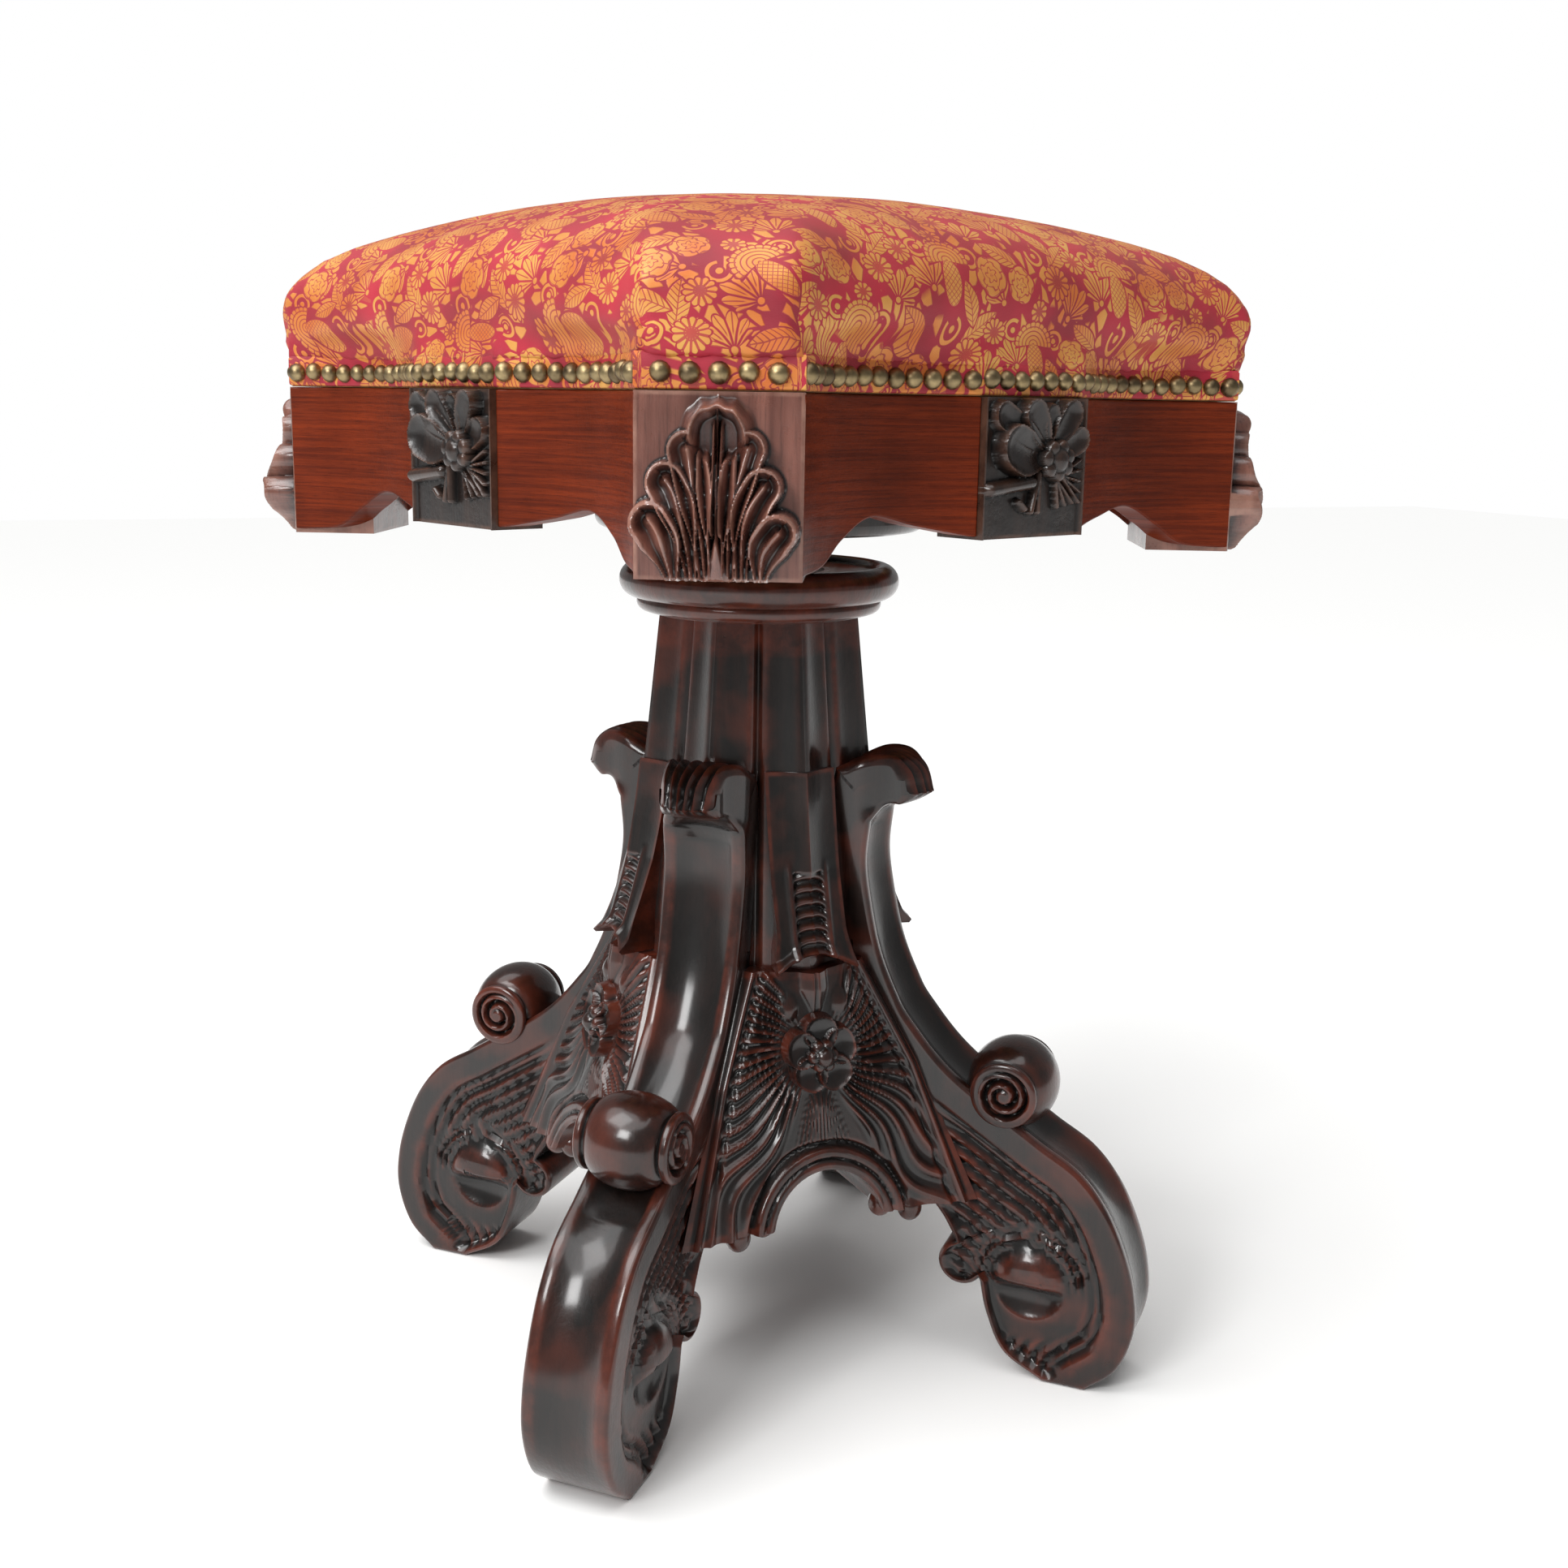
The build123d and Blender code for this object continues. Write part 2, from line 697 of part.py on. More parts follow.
# ---------------------------------------------------------------- frieze
blocks = []
for place, angle in corner_names.items():
    bearing = angle + seat_turn
    with BuildPart() as corner_block:
        with BuildSketch(turned(bearing, corner_bottom)):
            with Locations((corner_reach - corner_depth / 2, 0)):
                Rectangle(corner_depth, corner_width)
        extrude(amount=frieze_top - corner_bottom)
        with BuildSketch(upright(bearing)):
            with BuildLine():
                relief = Spline(*[(corner_reach + out, corner_bottom + up) for out, up in leaf_relief])
                Polyline(relief @ 1, (corner_reach, corner_bottom), relief @ 0)
            make_face()
        extrude(amount=corner_width / 2 - 2, both=True)
        with BuildSketch(facing(bearing, corner_reach)):
            with BuildLine():
                tip = Spline((5, frieze_top - 1.5), (15, frieze_top - 6.5), (16, frieze_top - 14.5))
                lobe = Spline(tip @ 1, (24, frieze_top - 20.5), (24, frieze_top - 30.5))
                low = Spline(lobe @ 1, (corner_width / 2 - 0.5, frieze_top - 38.5), (corner_width / 2 - 1.5, corner_bottom))
                Polyline(low @ 1, (corner_width, corner_bottom), (corner_width, frieze_top), (5, frieze_top), tip @ 0)
            make_face()
            mirror(about=Plane.YZ)
        extrude(amount=30, mode=Mode.SUBTRACT)
    save(corner_block, f"corner_block_{place}")
    blocks.append(corner_block.part)

for name, angle in side_names.items():
    bearing = angle + seat_turn
    with BuildPart() as middle_block:
        with BuildSketch(turned(bearing, middle_bottom)):
            with Locations((middle_reach - middle_depth / 2, 0)):
                Rectangle(middle_depth, middle_width)
        extrude(amount=frieze_top - middle_bottom)
        with BuildSketch(facing(bearing, middle_reach)):
            with Locations((0, (frieze_top + middle_bottom) / 2)):
                with PolarLocations(14, 4, start_angle=45):
                    Circle(9)
        extrude(amount=middle_relief - 2)
        with Locations(facing(bearing, middle_reach)):
            with Locations((0, (frieze_top + middle_bottom) / 2, 0)):
                Sphere(middle_relief)
    save(middle_block, f"middle_block_{name}")
    blocks.append(middle_block.part)

aprons = []
out_far, along_far = corner_point(0)
out_near = middle_reach - 1.0
for name, angle in side_names.items():
    bearing = angle + seat_turn
    for hand, side in (("left", -1), ("right", 1)):
        near = side * middle_width / 2
        far = side * along_far
        out_mid = (out_far + out_near) / 2 - scoop_sagitta
        with BuildPart() as apron:
            with BuildSketch(turned(bearing, corner_bottom)):
                with BuildLine():
                    ThreePointArc((out_near, near), (out_mid, (near + far) / 2), (out_far, far))
                    Line((out_far, far), (out_far - apron_thickness, far))
                    ThreePointArc(
                        (out_far - apron_thickness, far),
                        (out_mid - apron_thickness, (near + far) / 2),
                        (out_near - apron_thickness, near),
                    )
                    Line((out_near - apron_thickness, near), (out_near, near))
                make_face()
            extrude(amount=frieze_top - corner_bottom)
            with BuildSketch(facing(bearing, out_mid - 2 * apron_thickness)):
                with BuildLine():
                    edge = Spline(*[(near + share * (far - near), corner_bottom + up) for share, up in apron_edge])
                    Polyline(
                        edge @ 1,
                        (near - side, corner_bottom + apron_edge[-1][1]),
                        (near - side, corner_bottom - 2),
                        (far + side, corner_bottom - 2),
                        (far + side, corner_bottom + apron_edge[0][1]),
                        edge @ 0,
                    )
                make_face()
            extrude(amount=70, mode=Mode.SUBTRACT)
            for block in blocks:
                add(block, mode=Mode.SUBTRACT)
        save(apron, f"apron_{name}_{hand}")
        aprons.append(apron.part)

with BuildPart() as seat_board:
    extrude(seat_outline(frieze_top - board_thickness, apron_thickness), amount=board_thickness)
    for block in blocks + aprons:
        add(block, mode=Mode.SUBTRACT)
save(seat_board, "seat_board")

# ---------------------------------------------------------------- upholstery
with BuildPart() as tack_rail:
    extrude(seat_outline(frieze_top, cover_thickness), amount=rail_height)
save(tack_rail, "tack_rail")

with BuildPart() as cover_band:
    extrude(seat_outline(frieze_top + cover_hem, 0.0), amount=rail_height - cover_hem)
    add(tack_rail.part, mode=Mode.SUBTRACT)
save(cover_band, "cover_band")

with BuildPart() as cushion:
    for rise, corner_swell, side_swell, share in cushion_levels:
        corner_out = corner_reach - cushion_inset + corner_swell
        half_corner = (corner_width / 2 - cushion_inset) * share
        out = (corner_out + half_corner) / sqrt(2)
        along = (corner_out - half_corner) / sqrt(2)
        side_out = middle_reach - cushion_inset - 6.0 + side_swell
        with BuildSketch(turned(seat_turn, frieze_top + rail_height + rise)):
            with BuildLine():
                for k in range(4):
                    c, s = (1, 0, -1, 0)[k], (0, 1, 0, -1)[k]
                    start = (c * out + s * along, s * out - c * along)
                    middle = (c * side_out, s * side_out)
                    end = (c * out - s * along, s * out + c * along)
                    following = (-s * out + c * along, c * out + s * along)
                    ThreePointArc(start, middle, end)
                    Line(end, following)
            make_face()
    loft(ruled=True)
save(cushion, "cushion")

with BuildPart() as dome_nails:
    row_height = frieze_top + nail_height
    for edge in seat_outline(row_height, 0.0).edges():
        canted = edge.geom_type == GeomType.LINE and edge.length < corner_width + 0.5 and (edge @ 0.5).length > 190
        count = corner_nails if canted else round(edge.length / nail_pitch)
        margin = (edge.length - corner_nails * corner_nail_pitch) / 2 if canted else 0.0
        run = edge.length - 2 * margin
        for j in range(count):
            share = (margin + run * (j + 0.5) / count) / edge.length
            spot = edge @ share
            along = edge % share
            outward = Vector(along.Y, -along.X, 0)
            if outward.dot(spot) < 0:
                outward = -outward
            with Locations(Plane(origin=spot + outward * nail_seat, z_dir=outward)):
                Sphere(nail_radius, arc_size1=0, align=(Align.CENTER, Align.CENTER, Align.MIN))
save(dome_nails, "dome_nails")
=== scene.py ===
"""Looks of a carved revolving piano stool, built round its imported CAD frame.

Sizes are in millimetres and turn into metres when a mesh is made. Angles run from +X towards +Y,
the axis of the stool is Z and the floor is z = 0.
"""

import functools
import json
import logging
import math
from dataclasses import dataclass
from enum import Enum

import bmesh
import bpy
import numpy as np
from mathutils import Matrix, Vector

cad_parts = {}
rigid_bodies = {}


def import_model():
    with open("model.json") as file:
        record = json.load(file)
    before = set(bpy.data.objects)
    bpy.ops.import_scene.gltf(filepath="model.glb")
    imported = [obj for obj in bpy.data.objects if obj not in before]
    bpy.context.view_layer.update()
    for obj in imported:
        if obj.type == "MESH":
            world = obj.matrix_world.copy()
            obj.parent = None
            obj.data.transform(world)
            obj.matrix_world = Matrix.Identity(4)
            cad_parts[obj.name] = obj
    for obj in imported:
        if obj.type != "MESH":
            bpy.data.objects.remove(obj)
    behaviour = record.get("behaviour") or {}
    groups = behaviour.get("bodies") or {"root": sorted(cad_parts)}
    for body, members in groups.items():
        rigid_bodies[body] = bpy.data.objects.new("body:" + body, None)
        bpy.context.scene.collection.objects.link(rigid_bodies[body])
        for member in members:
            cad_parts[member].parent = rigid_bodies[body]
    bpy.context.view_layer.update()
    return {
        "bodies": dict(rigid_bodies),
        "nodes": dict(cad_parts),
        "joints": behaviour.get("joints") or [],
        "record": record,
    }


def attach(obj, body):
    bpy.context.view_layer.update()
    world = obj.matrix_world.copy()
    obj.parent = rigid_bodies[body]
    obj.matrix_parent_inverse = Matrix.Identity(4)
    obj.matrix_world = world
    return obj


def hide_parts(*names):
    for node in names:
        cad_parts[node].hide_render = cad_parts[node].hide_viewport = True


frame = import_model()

MM = 0.001
SEAT_TURN = 18.33
LOG = logging.getLogger("stool")
Array = np.ndarray
Socket = bpy.types.NodeSocket


class Corner(Enum):
    """The four legs and the four corners of the seat, by their angle."""

    BACK_RIGHT = 45.0
    BACK_LEFT = 135.0
    FRONT_LEFT = 225.0
    FRONT_RIGHT = 315.0


class Side(Enum):
    """The four faces of the pillar and of the seat, by their angle."""

    RIGHT = 0.0
    BACK = 90.0
    LEFT = 180.0
    FRONT = 270.0


class Body(Enum):
    """The bodies that move against each other."""

    BASE = "base"
    WASHER = "washer"
    SEAT = "seat"


# ---------------------------------------------------------------- curves and surfaces
def smooth(x: Array, low: float, high: float) -> Array:
    """Smooth step: 0 below low, 1 above high, and 3t^2 - 2t^3 between.

    Args:
        x: values to turn into steps.
        low: where the step starts.
        high: where the step ends, which may be below low for a falling step.

    Returns:
        Values from 0 to 1.
    """
    t = np.clip((np.asarray(x, float) - low) / (high - low), 0.0, 1.0)
    return t * t * (3.0 - 2.0 * t)


def bump(x: Array, middle: float, reach: float) -> Array:
    """Round hump, cos^2 of the distance from the middle, that ends at the reach.

    Args:
        x: values to turn into a hump.
        middle: where the hump is highest.
        reach: half its width.

    Returns:
        Values from 0 to 1.
    """
    return np.cos(np.clip(np.abs(x - middle) / reach, 0.0, 1.0) * math.pi / 2) ** 2


def curve(points: tuple, count: int) -> Array:
    """Catmull-Rom curve through a few points, at even parameter steps.

    Each stretch is the cubic through two points whose slope at each is half the way between its
    neighbours; the ends repeat the end points.

    Args:
        points: the points, any dimension.
        count: samples over the whole curve.

    Returns:
        Array (count, dimension).
    """
    p = np.asarray(points, float)
    ring = np.vstack([2 * p[0] - p[1], p, 2 * p[-1] - p[-2]])
    u = np.linspace(0.0, len(p) - 1.0, count)
    k = np.minimum(u.astype(int), len(p) - 2)
    t = (u - k)[:, None]
    a, b, c, d = ring[k], ring[k + 1], ring[k + 2], ring[k + 3]
    return 0.5 * (2 * b + (c - a) * t + (2 * a - 5 * b + 4 * c - d) * t**2 + (3 * b - a - 3 * c + d) * t**3)


def arc(start: tuple, through: tuple, end: tuple, count: int) -> Array:
    """Circular arc through three plane points.

    The centre is where the perpendicular bisectors meet, and the angle runs evenly from start to end.

    Args:
        start: first point.
        through: a point on the arc.
        end: last point.
        count: samples.

    Returns:
        Array (count, 2).
    """
    a, b, c = (np.asarray(p, float) for p in (start, through, end))
    rows = 2 * np.array([b - a, c - b])
    centre = np.linalg.solve(rows, np.array([b @ b - a @ a, c @ c - b @ b]))
    angles = np.unwrap([math.atan2(*(p - centre)[::-1]) for p in (a, b, c)])
    turn = np.linspace(angles[0], angles[2], count)
    radius = np.linalg.norm(a - centre)
    return centre + radius * np.stack([np.cos(turn), np.sin(turn)], -1)


def place(out: Array, side: Array, up: Array, angle: float) -> Array:
    """Points at a distance outwards and sideways of an angle.

    Args:
        out: distance outwards.
        side: distance to the left of outwards.
        up: height.
        angle: degrees.

    Returns:
        Array (..., 3).
    """
    out, side, up = np.broadcast_arrays(out, side, up)
    c, s = math.cos(math.radians(angle)), math.sin(math.radians(angle))
    return np.stack([c * out - s * side, s * out + c * side, up], -1)


@dataclass
class Shell:
    """One closed surface: points in millimetres, quads, and where needed a flat map in metres."""

    points: Array
    quads: Array
    flat: Array | None = None


def sheet(
    points: Array, close_rows: bool = False, close_columns: bool = False, flat: Array | None = None
) -> Shell:
    """Quads of a grid of points, whose rows or columns may run round and meet.

    Args:
        points: array (rows, columns, 3).
        close_rows: the last row joins the first.
        close_columns: the last column joins the first.
        flat: array (rows, columns, 2) of the flat map.

    Returns:
        The shell.
    """
    rows, columns = points.shape[:2]
    at = np.arange(rows * columns).reshape(rows, columns)
    at = np.vstack([at, at[:1]]) if close_rows else at
    at = np.hstack([at, at[:, :1]]) if close_columns else at
    quads = np.stack([at[:-1, :-1], at[1:, :-1], at[1:, 1:], at[:-1, 1:]], -1).reshape(-1, 4)
    return Shell(points.reshape(-1, 3), quads, None if flat is None else flat.reshape(-1, 2))


def slab(front: Array, back: Array, flat: Array | None = None) -> Shell:
    """Closed body between two grids of the same shape, joined all round their edges.

    Args:
        front: array (rows, columns, 3).
        back: array of the same shape.
        flat: array (rows, columns, 2) of the flat map, used for both faces.

    Returns:
        The shell.
    """
    near, far = sheet(front), sheet(back)
    at = np.arange(front.shape[0] * front.shape[1]).reshape(front.shape[:2])
    rim = np.concatenate([at[0, :-1], at[:-1, -1], at[-1, :0:-1], at[:0:-1, 0]])
    following = np.roll(rim, -1)
    edge = np.stack([rim, following, following + at.size, rim + at.size], -1)
    quads = np.vstack([near.quads, far.quads + at.size, edge])
    both = None if flat is None else np.vstack([flat.reshape(-1, 2)] * 2)
    return Shell(np.vstack([near.points, far.points]), quads, both)


def lathe(profile: Array, count: int) -> Shell:
    """A profile of (radius, height) points turned round the axis.

    Args:
        profile: array (n, 2) whose ends lie on the axis.
        count: steps round the axis.

    Returns:
        The shell.
    """
    turn = np.linspace(0, 2 * math.pi, count, endpoint=False)
    r, z = profile[:, :1], profile[:, 1:]
    return sheet(np.stack([r * np.cos(turn), r * np.sin(turn), z + 0 * turn], -1), close_columns=True)


# ---------------------------------------------------------------- finishes
def linear(code: str) -> tuple:
    """Turns an sRGB hex value into linear colour.

    Args:
        code: six hex digits after a hash sign.

    Returns:
        Red, green, blue and alpha.
    """
    parts = [int(code[k : k + 2], 16) / 255 for k in (1, 3, 5)]
    return (*[v / 12.92 if v <= 0.04045 else ((v + 0.055) / 1.055) ** 2.4 for v in parts], 1.0)


def add(tree: bpy.types.NodeTree, kind: str, links: dict | None = None, **settings: object) -> bpy.types.Node:
    """Adds a node with its settings, its inputs' values and its links.

    Args:
        tree: the material's nodes.
        kind: the node's type, without its ShaderNode prefix.
        links: input name or number to a value, or to a socket that it is linked to.
        settings: the node's own properties.

    Returns:
        The node.
    """
    node = tree.nodes.new("ShaderNode" + kind)
    for name, value in settings.items():
        setattr(node, name, value)
    for key, value in (links or {}).items():
        if isinstance(value, Socket):
            tree.links.new(value, node.inputs[key])
        else:
            node.inputs[key].default_value = value
    return node


def fresh(name: str, **values: object) -> tuple:
    """A new material with its Principled shader.

    Args:
        name: the material's name.
        values: the shader's own inputs, with underscores for spaces.

    Returns:
        The material, its nodes and the shader.
    """
    material = bpy.data.materials.new(name)
    material.use_nodes = True
    shader = material.node_tree.nodes["Principled BSDF"]
    for key, value in values.items():
        shader.inputs[key.replace("_", " ")].default_value = value
    return material, material.node_tree, shader


@dataclass(frozen=True)
class PolishedWood:
    """Stained and French polished hardwood: streaks of grain, open pores, rubbed edges, rough hollows in painted
    shade.

    Rubbed edges take a paler colour, which on the walnut is also a painted highlight. Streak, pore, stain and
    rubbing are sizes in millimetres; the rest of the numbers are shares.
    """

    name: str
    dark: str
    light: str
    # paler colour on what stands out: rubbed wear, and on the walnut also a painted highlight
    worn_and_highlight: str
    # colour of the hollows: painted shade
    hollow: str
    streak: tuple = (9.0, 9.0, 160.0)
    pore: tuple = (1.3, 1.3, 22.0)
    stain: float = 45.0
    rubbing: float = 14.0
    on_map: bool = False
    roughness: float = 0.34
    polish: float = 0.5
    polish_roughness: float = 0.16
    # share of that paler colour put on: wear, and on the walnut painted highlight
    rub_and_highlight: float = 1.0
    blush: float = 0.0
    relief: float = 0.25
    gleam: float = 0.35

    @functools.cache
    def material(self) -> bpy.types.Material:
        """Builds the material once.

        Returns:
            The material.
        """
        material, tree, shader = fresh(
            self.name, Coat_Weight=self.polish, Coat_Roughness=self.polish_roughness, IOR=1.5,
            Specular_IOR_Level=self.gleam,
        )
        spot = add(tree, "TexCoord").outputs["UV" if self.on_map else "Object"]
        streak = add(tree, "Mapping", {"Vector": spot, "Scale": [1 / (MM * s) for s in self.streak]})
        pore = add(tree, "Mapping", {"Vector": spot, "Scale": [1 / (MM * s) for s in self.pore]})
        bands = add(
            tree, "TexNoise", {"Vector": streak.outputs[0], "Scale": 1.0, "Detail": 5.0, "Distortion": 0.6}
        )
        pores = add(
            tree, "TexNoise", {"Vector": pore.outputs[0], "Scale": 1.0, "Detail": 3.0, "Roughness": 0.6}
        )
        stain = add(tree, "TexNoise", {"Vector": spot, "Scale": 1 / (MM * self.stain), "Detail": 3.0})
        rubbed = add(
            tree, "TexNoise",
            {"Vector": spot, "Scale": 1 / (MM * self.rubbing), "Detail": 5.0, "Roughness": 0.65},
        )
        grain = add(tree, "MapRange", {0: bands.outputs[0], 1: 0.36, 2: 0.64})
        timber = add(
            tree, "Mix", {0: grain.outputs[0], 6: linear(self.dark), 7: linear(self.light)}, data_type="RGBA"
        )
        shade = add(tree, "MapRange", {0: stain.outputs[0], 1: 0.3, 2: 0.7, 3: 0.72, 4: 1.2})
        open_pore = add(tree, "MapRange", {0: pores.outputs[0], 1: 0.30, 2: 0.48, 3: 0.62, 4: 1.0})
        both = add(tree, "Math", {0: shade.outputs[0], 1: open_pore.outputs[0]}, operation="MULTIPLY")
        toned = add(tree, "VectorMath", {0: timber.outputs[2], "Scale": both.outputs[0]}, operation="SCALE")
        # Where the surface stands out, in patches, a paler colour: rubbed wear, and on the walnut also a painted
        # highlight.
        edge = add(tree, "Attribute", attribute_name="wear").outputs["Fac"]
        patch = add(tree, "MapRange", {0: rubbed.outputs[0], 1: 0.40, 2: 0.66, 3: 0.25, 4: 1.0})
        bare_and_highlight = add(tree, "Math", {0: edge, 1: patch.outputs[0]}, operation="MULTIPLY")
        faded = add(tree, "MapRange", {0: stain.outputs[0], 1: 0.52, 2: 0.66, 4: self.blush})
        bare_and_highlight = add(
            tree, "Math", {0: bare_and_highlight.outputs[0], 1: self.rub_and_highlight, 2: faded.outputs[0]},
            operation="MULTIPLY_ADD", use_clamp=True,
        )
        worn_and_highlight = add(
            tree, "Mix", {0: bare_and_highlight.outputs[0], 6: toned.outputs[0], 7: linear(self.worn_and_highlight)}, data_type="RGBA"
        )
        # Painted shade: where the surface sinks in, the colour goes to the hollow colour.
        deep = add(tree, "Attribute", attribute_name="cavity").outputs["Fac"]
        hollow_shaded = add(tree, "Mix", {0: deep, 6: worn_and_highlight.outputs[2], 7: linear(self.hollow)}, data_type="RGBA")
        tree.links.new(hollow_shaded.outputs[2], shader.inputs["Base Color"])
        dull, clear = self.roughness + 0.1, self.roughness - 0.07
        haze = add(tree, "MapRange", {0: rubbed.outputs[0], 1: 0.3, 2: 0.7, 3: clear, 4: dull})
        rough = add(tree, "Math", {0: deep, 1: 0.3, 2: haze.outputs[0]}, operation="MULTIPLY_ADD")
        tree.links.new(rough.outputs[0], shader.inputs["Roughness"])
        fine = add(tree, "Bump", {"Height": pores.outputs[0], "Strength": self.relief, "Distance": 0.0004})
        dents = add(
            tree, "Bump",
            {"Height": rubbed.outputs[0], "Strength": self.relief, "Distance": 0.002, "Normal": fine.outputs[0]},
        )
        tree.links.new(dents.outputs[0], shader.inputs["Normal"])
        return material


@dataclass(frozen=True)
class Metal:
    """Metal with a tarnish that gathers in patches: a bright and a dull colour, and a fine surface grain."""

    name: str
    bright: str
    dull: str
    roughness: float
    grain_mm: float = 2.5
    metallic: float = 1.0
    relief: float = 0.15

    @functools.cache
    def material(self) -> bpy.types.Material:
        """Builds the material once.

        Returns:
            The material.
        """
        material, tree, shader = fresh(self.name, Metallic=self.metallic)
        spot = add(tree, "TexCoord").outputs["Object"]
        patch = add(tree, "TexNoise", {"Vector": spot, "Scale": 1 / (6 * self.grain_mm * MM), "Detail": 4.0})
        grain = add(tree, "TexNoise", {"Vector": spot, "Scale": 1 / (self.grain_mm * MM), "Detail": 5.0})
        deep = add(tree, "Attribute", attribute_name="cavity").outputs["Fac"]
        tarnish = add(tree, "MapRange", {0: patch.outputs[0], 1: 0.35, 2: 0.65})
        more = add(tree, "Math", {0: tarnish.outputs[0], 1: deep}, operation="MAXIMUM")
        colour = add(
            tree, "Mix", {0: more.outputs[0], 6: linear(self.bright), 7: linear(self.dull)}, data_type="RGBA"
        )
        tree.links.new(colour.outputs[2], shader.inputs["Base Color"])
        smoothest, roughest = self.roughness - 0.08, self.roughness + 0.12
        rough = add(tree, "MapRange", {0: grain.outputs[0], 1: 0.3, 2: 0.7, 3: smoothest, 4: roughest})
        tree.links.new(rough.outputs[0], shader.inputs["Roughness"])
        pits = add(tree, "Bump", {"Height": grain.outputs[0], "Strength": self.relief, "Distance": 0.0005})
        tree.links.new(pits.outputs[0], shader.inputs["Normal"])
        return material


@dataclass(frozen=True)
class Leather:
    """Thick vegetable tanned hide: a pebbled grain and darker, oiled patches, both sized in millimetres."""

    name: str
    light: str
    dark: str
    pebble: float = 1.2
    patch: float = 20.0

    @functools.cache
    def material(self) -> bpy.types.Material:
        """Builds the material once.

        Returns:
            The material.
        """
        material, tree, shader = fresh(self.name, IOR=1.45)
        spot = add(tree, "TexCoord").outputs["Object"]
        pebble = add(tree, "TexVoronoi", {"Vector": spot, "Scale": 1 / (MM * self.pebble)})
        oil = add(tree, "TexNoise", {"Vector": spot, "Scale": 1 / (MM * self.patch), "Detail": 3.0})
        colour = add(
            tree, "Mix", {0: oil.outputs[0], 6: linear(self.light), 7: linear(self.dark)}, data_type="RGBA"
        )
        tree.links.new(colour.outputs[2], shader.inputs["Base Color"])
        rough = add(tree, "MapRange", {0: oil.outputs[0], 3: 0.7, 4: 0.5})
        tree.links.new(rough.outputs[0], shader.inputs["Roughness"])
        grain = add(tree, "Bump", {"Height": pebble.outputs[0], "Strength": 0.4, "Distance": 0.0003})
        tree.links.new(grain.outputs[0], shader.inputs["Normal"])
        return material


class Cloth:
    """A number that varies over the cloth, written as arithmetic and made of shader nodes."""

    def __init__(self, tree: bpy.types.NodeTree, value: object) -> None:
        """Keeps the material's nodes and the socket or constant."""
        self.tree = tree
        self.value = value

    def join(self, operation: str, *others: object) -> "Cloth":
        """One step of arithmetic between this and other numbers.

        Args:
            operation: the Math node's operation.
            others: further numbers.

        Returns:
            The result.
        """
        values = [self.value] + [other.value if isinstance(other, Cloth) else other for other in others]
        node = add(self.tree, "Math", dict(enumerate(values)), operation=operation)
        return Cloth(self.tree, node.outputs[0])

    def __add__(self, other: object) -> "Cloth":
        """Sum."""
        return self.join("ADD", other)

    def __sub__(self, other: object) -> "Cloth":
        """Difference."""
        return self.join("SUBTRACT", other)

    def __mul__(self, other: object) -> "Cloth":
        """Product."""
        return self.join("MULTIPLY", other)

    def times_add(self, factor: object, term: object) -> "Cloth":
        """Product with a factor, plus a term."""
        return self.join("MULTIPLY_ADD", factor, term)

    def off(self, period: float) -> "Cloth":
        """Distance to the nearest multiple of a period."""
        return self.join("PINGPONG", period / 2)

    def step(self, low: float, high: float) -> "Cloth":
        """0 at low, 1 at high and even between, so a falling step where low is above high."""
        return Cloth(self.tree, add(self.tree, "MapRange", {0: self.value, 1: low, 2: high}).outputs[0])


class Motif(Enum):
    """Figures that the damask is woven with."""

    DAISY = "daisy"
    ROSE = "rose"
    SPRAY = "spray"
    SHELL = "shell"
    LEAF = "leaf"
    CONE = "cone"
    SCROLL = "scroll"


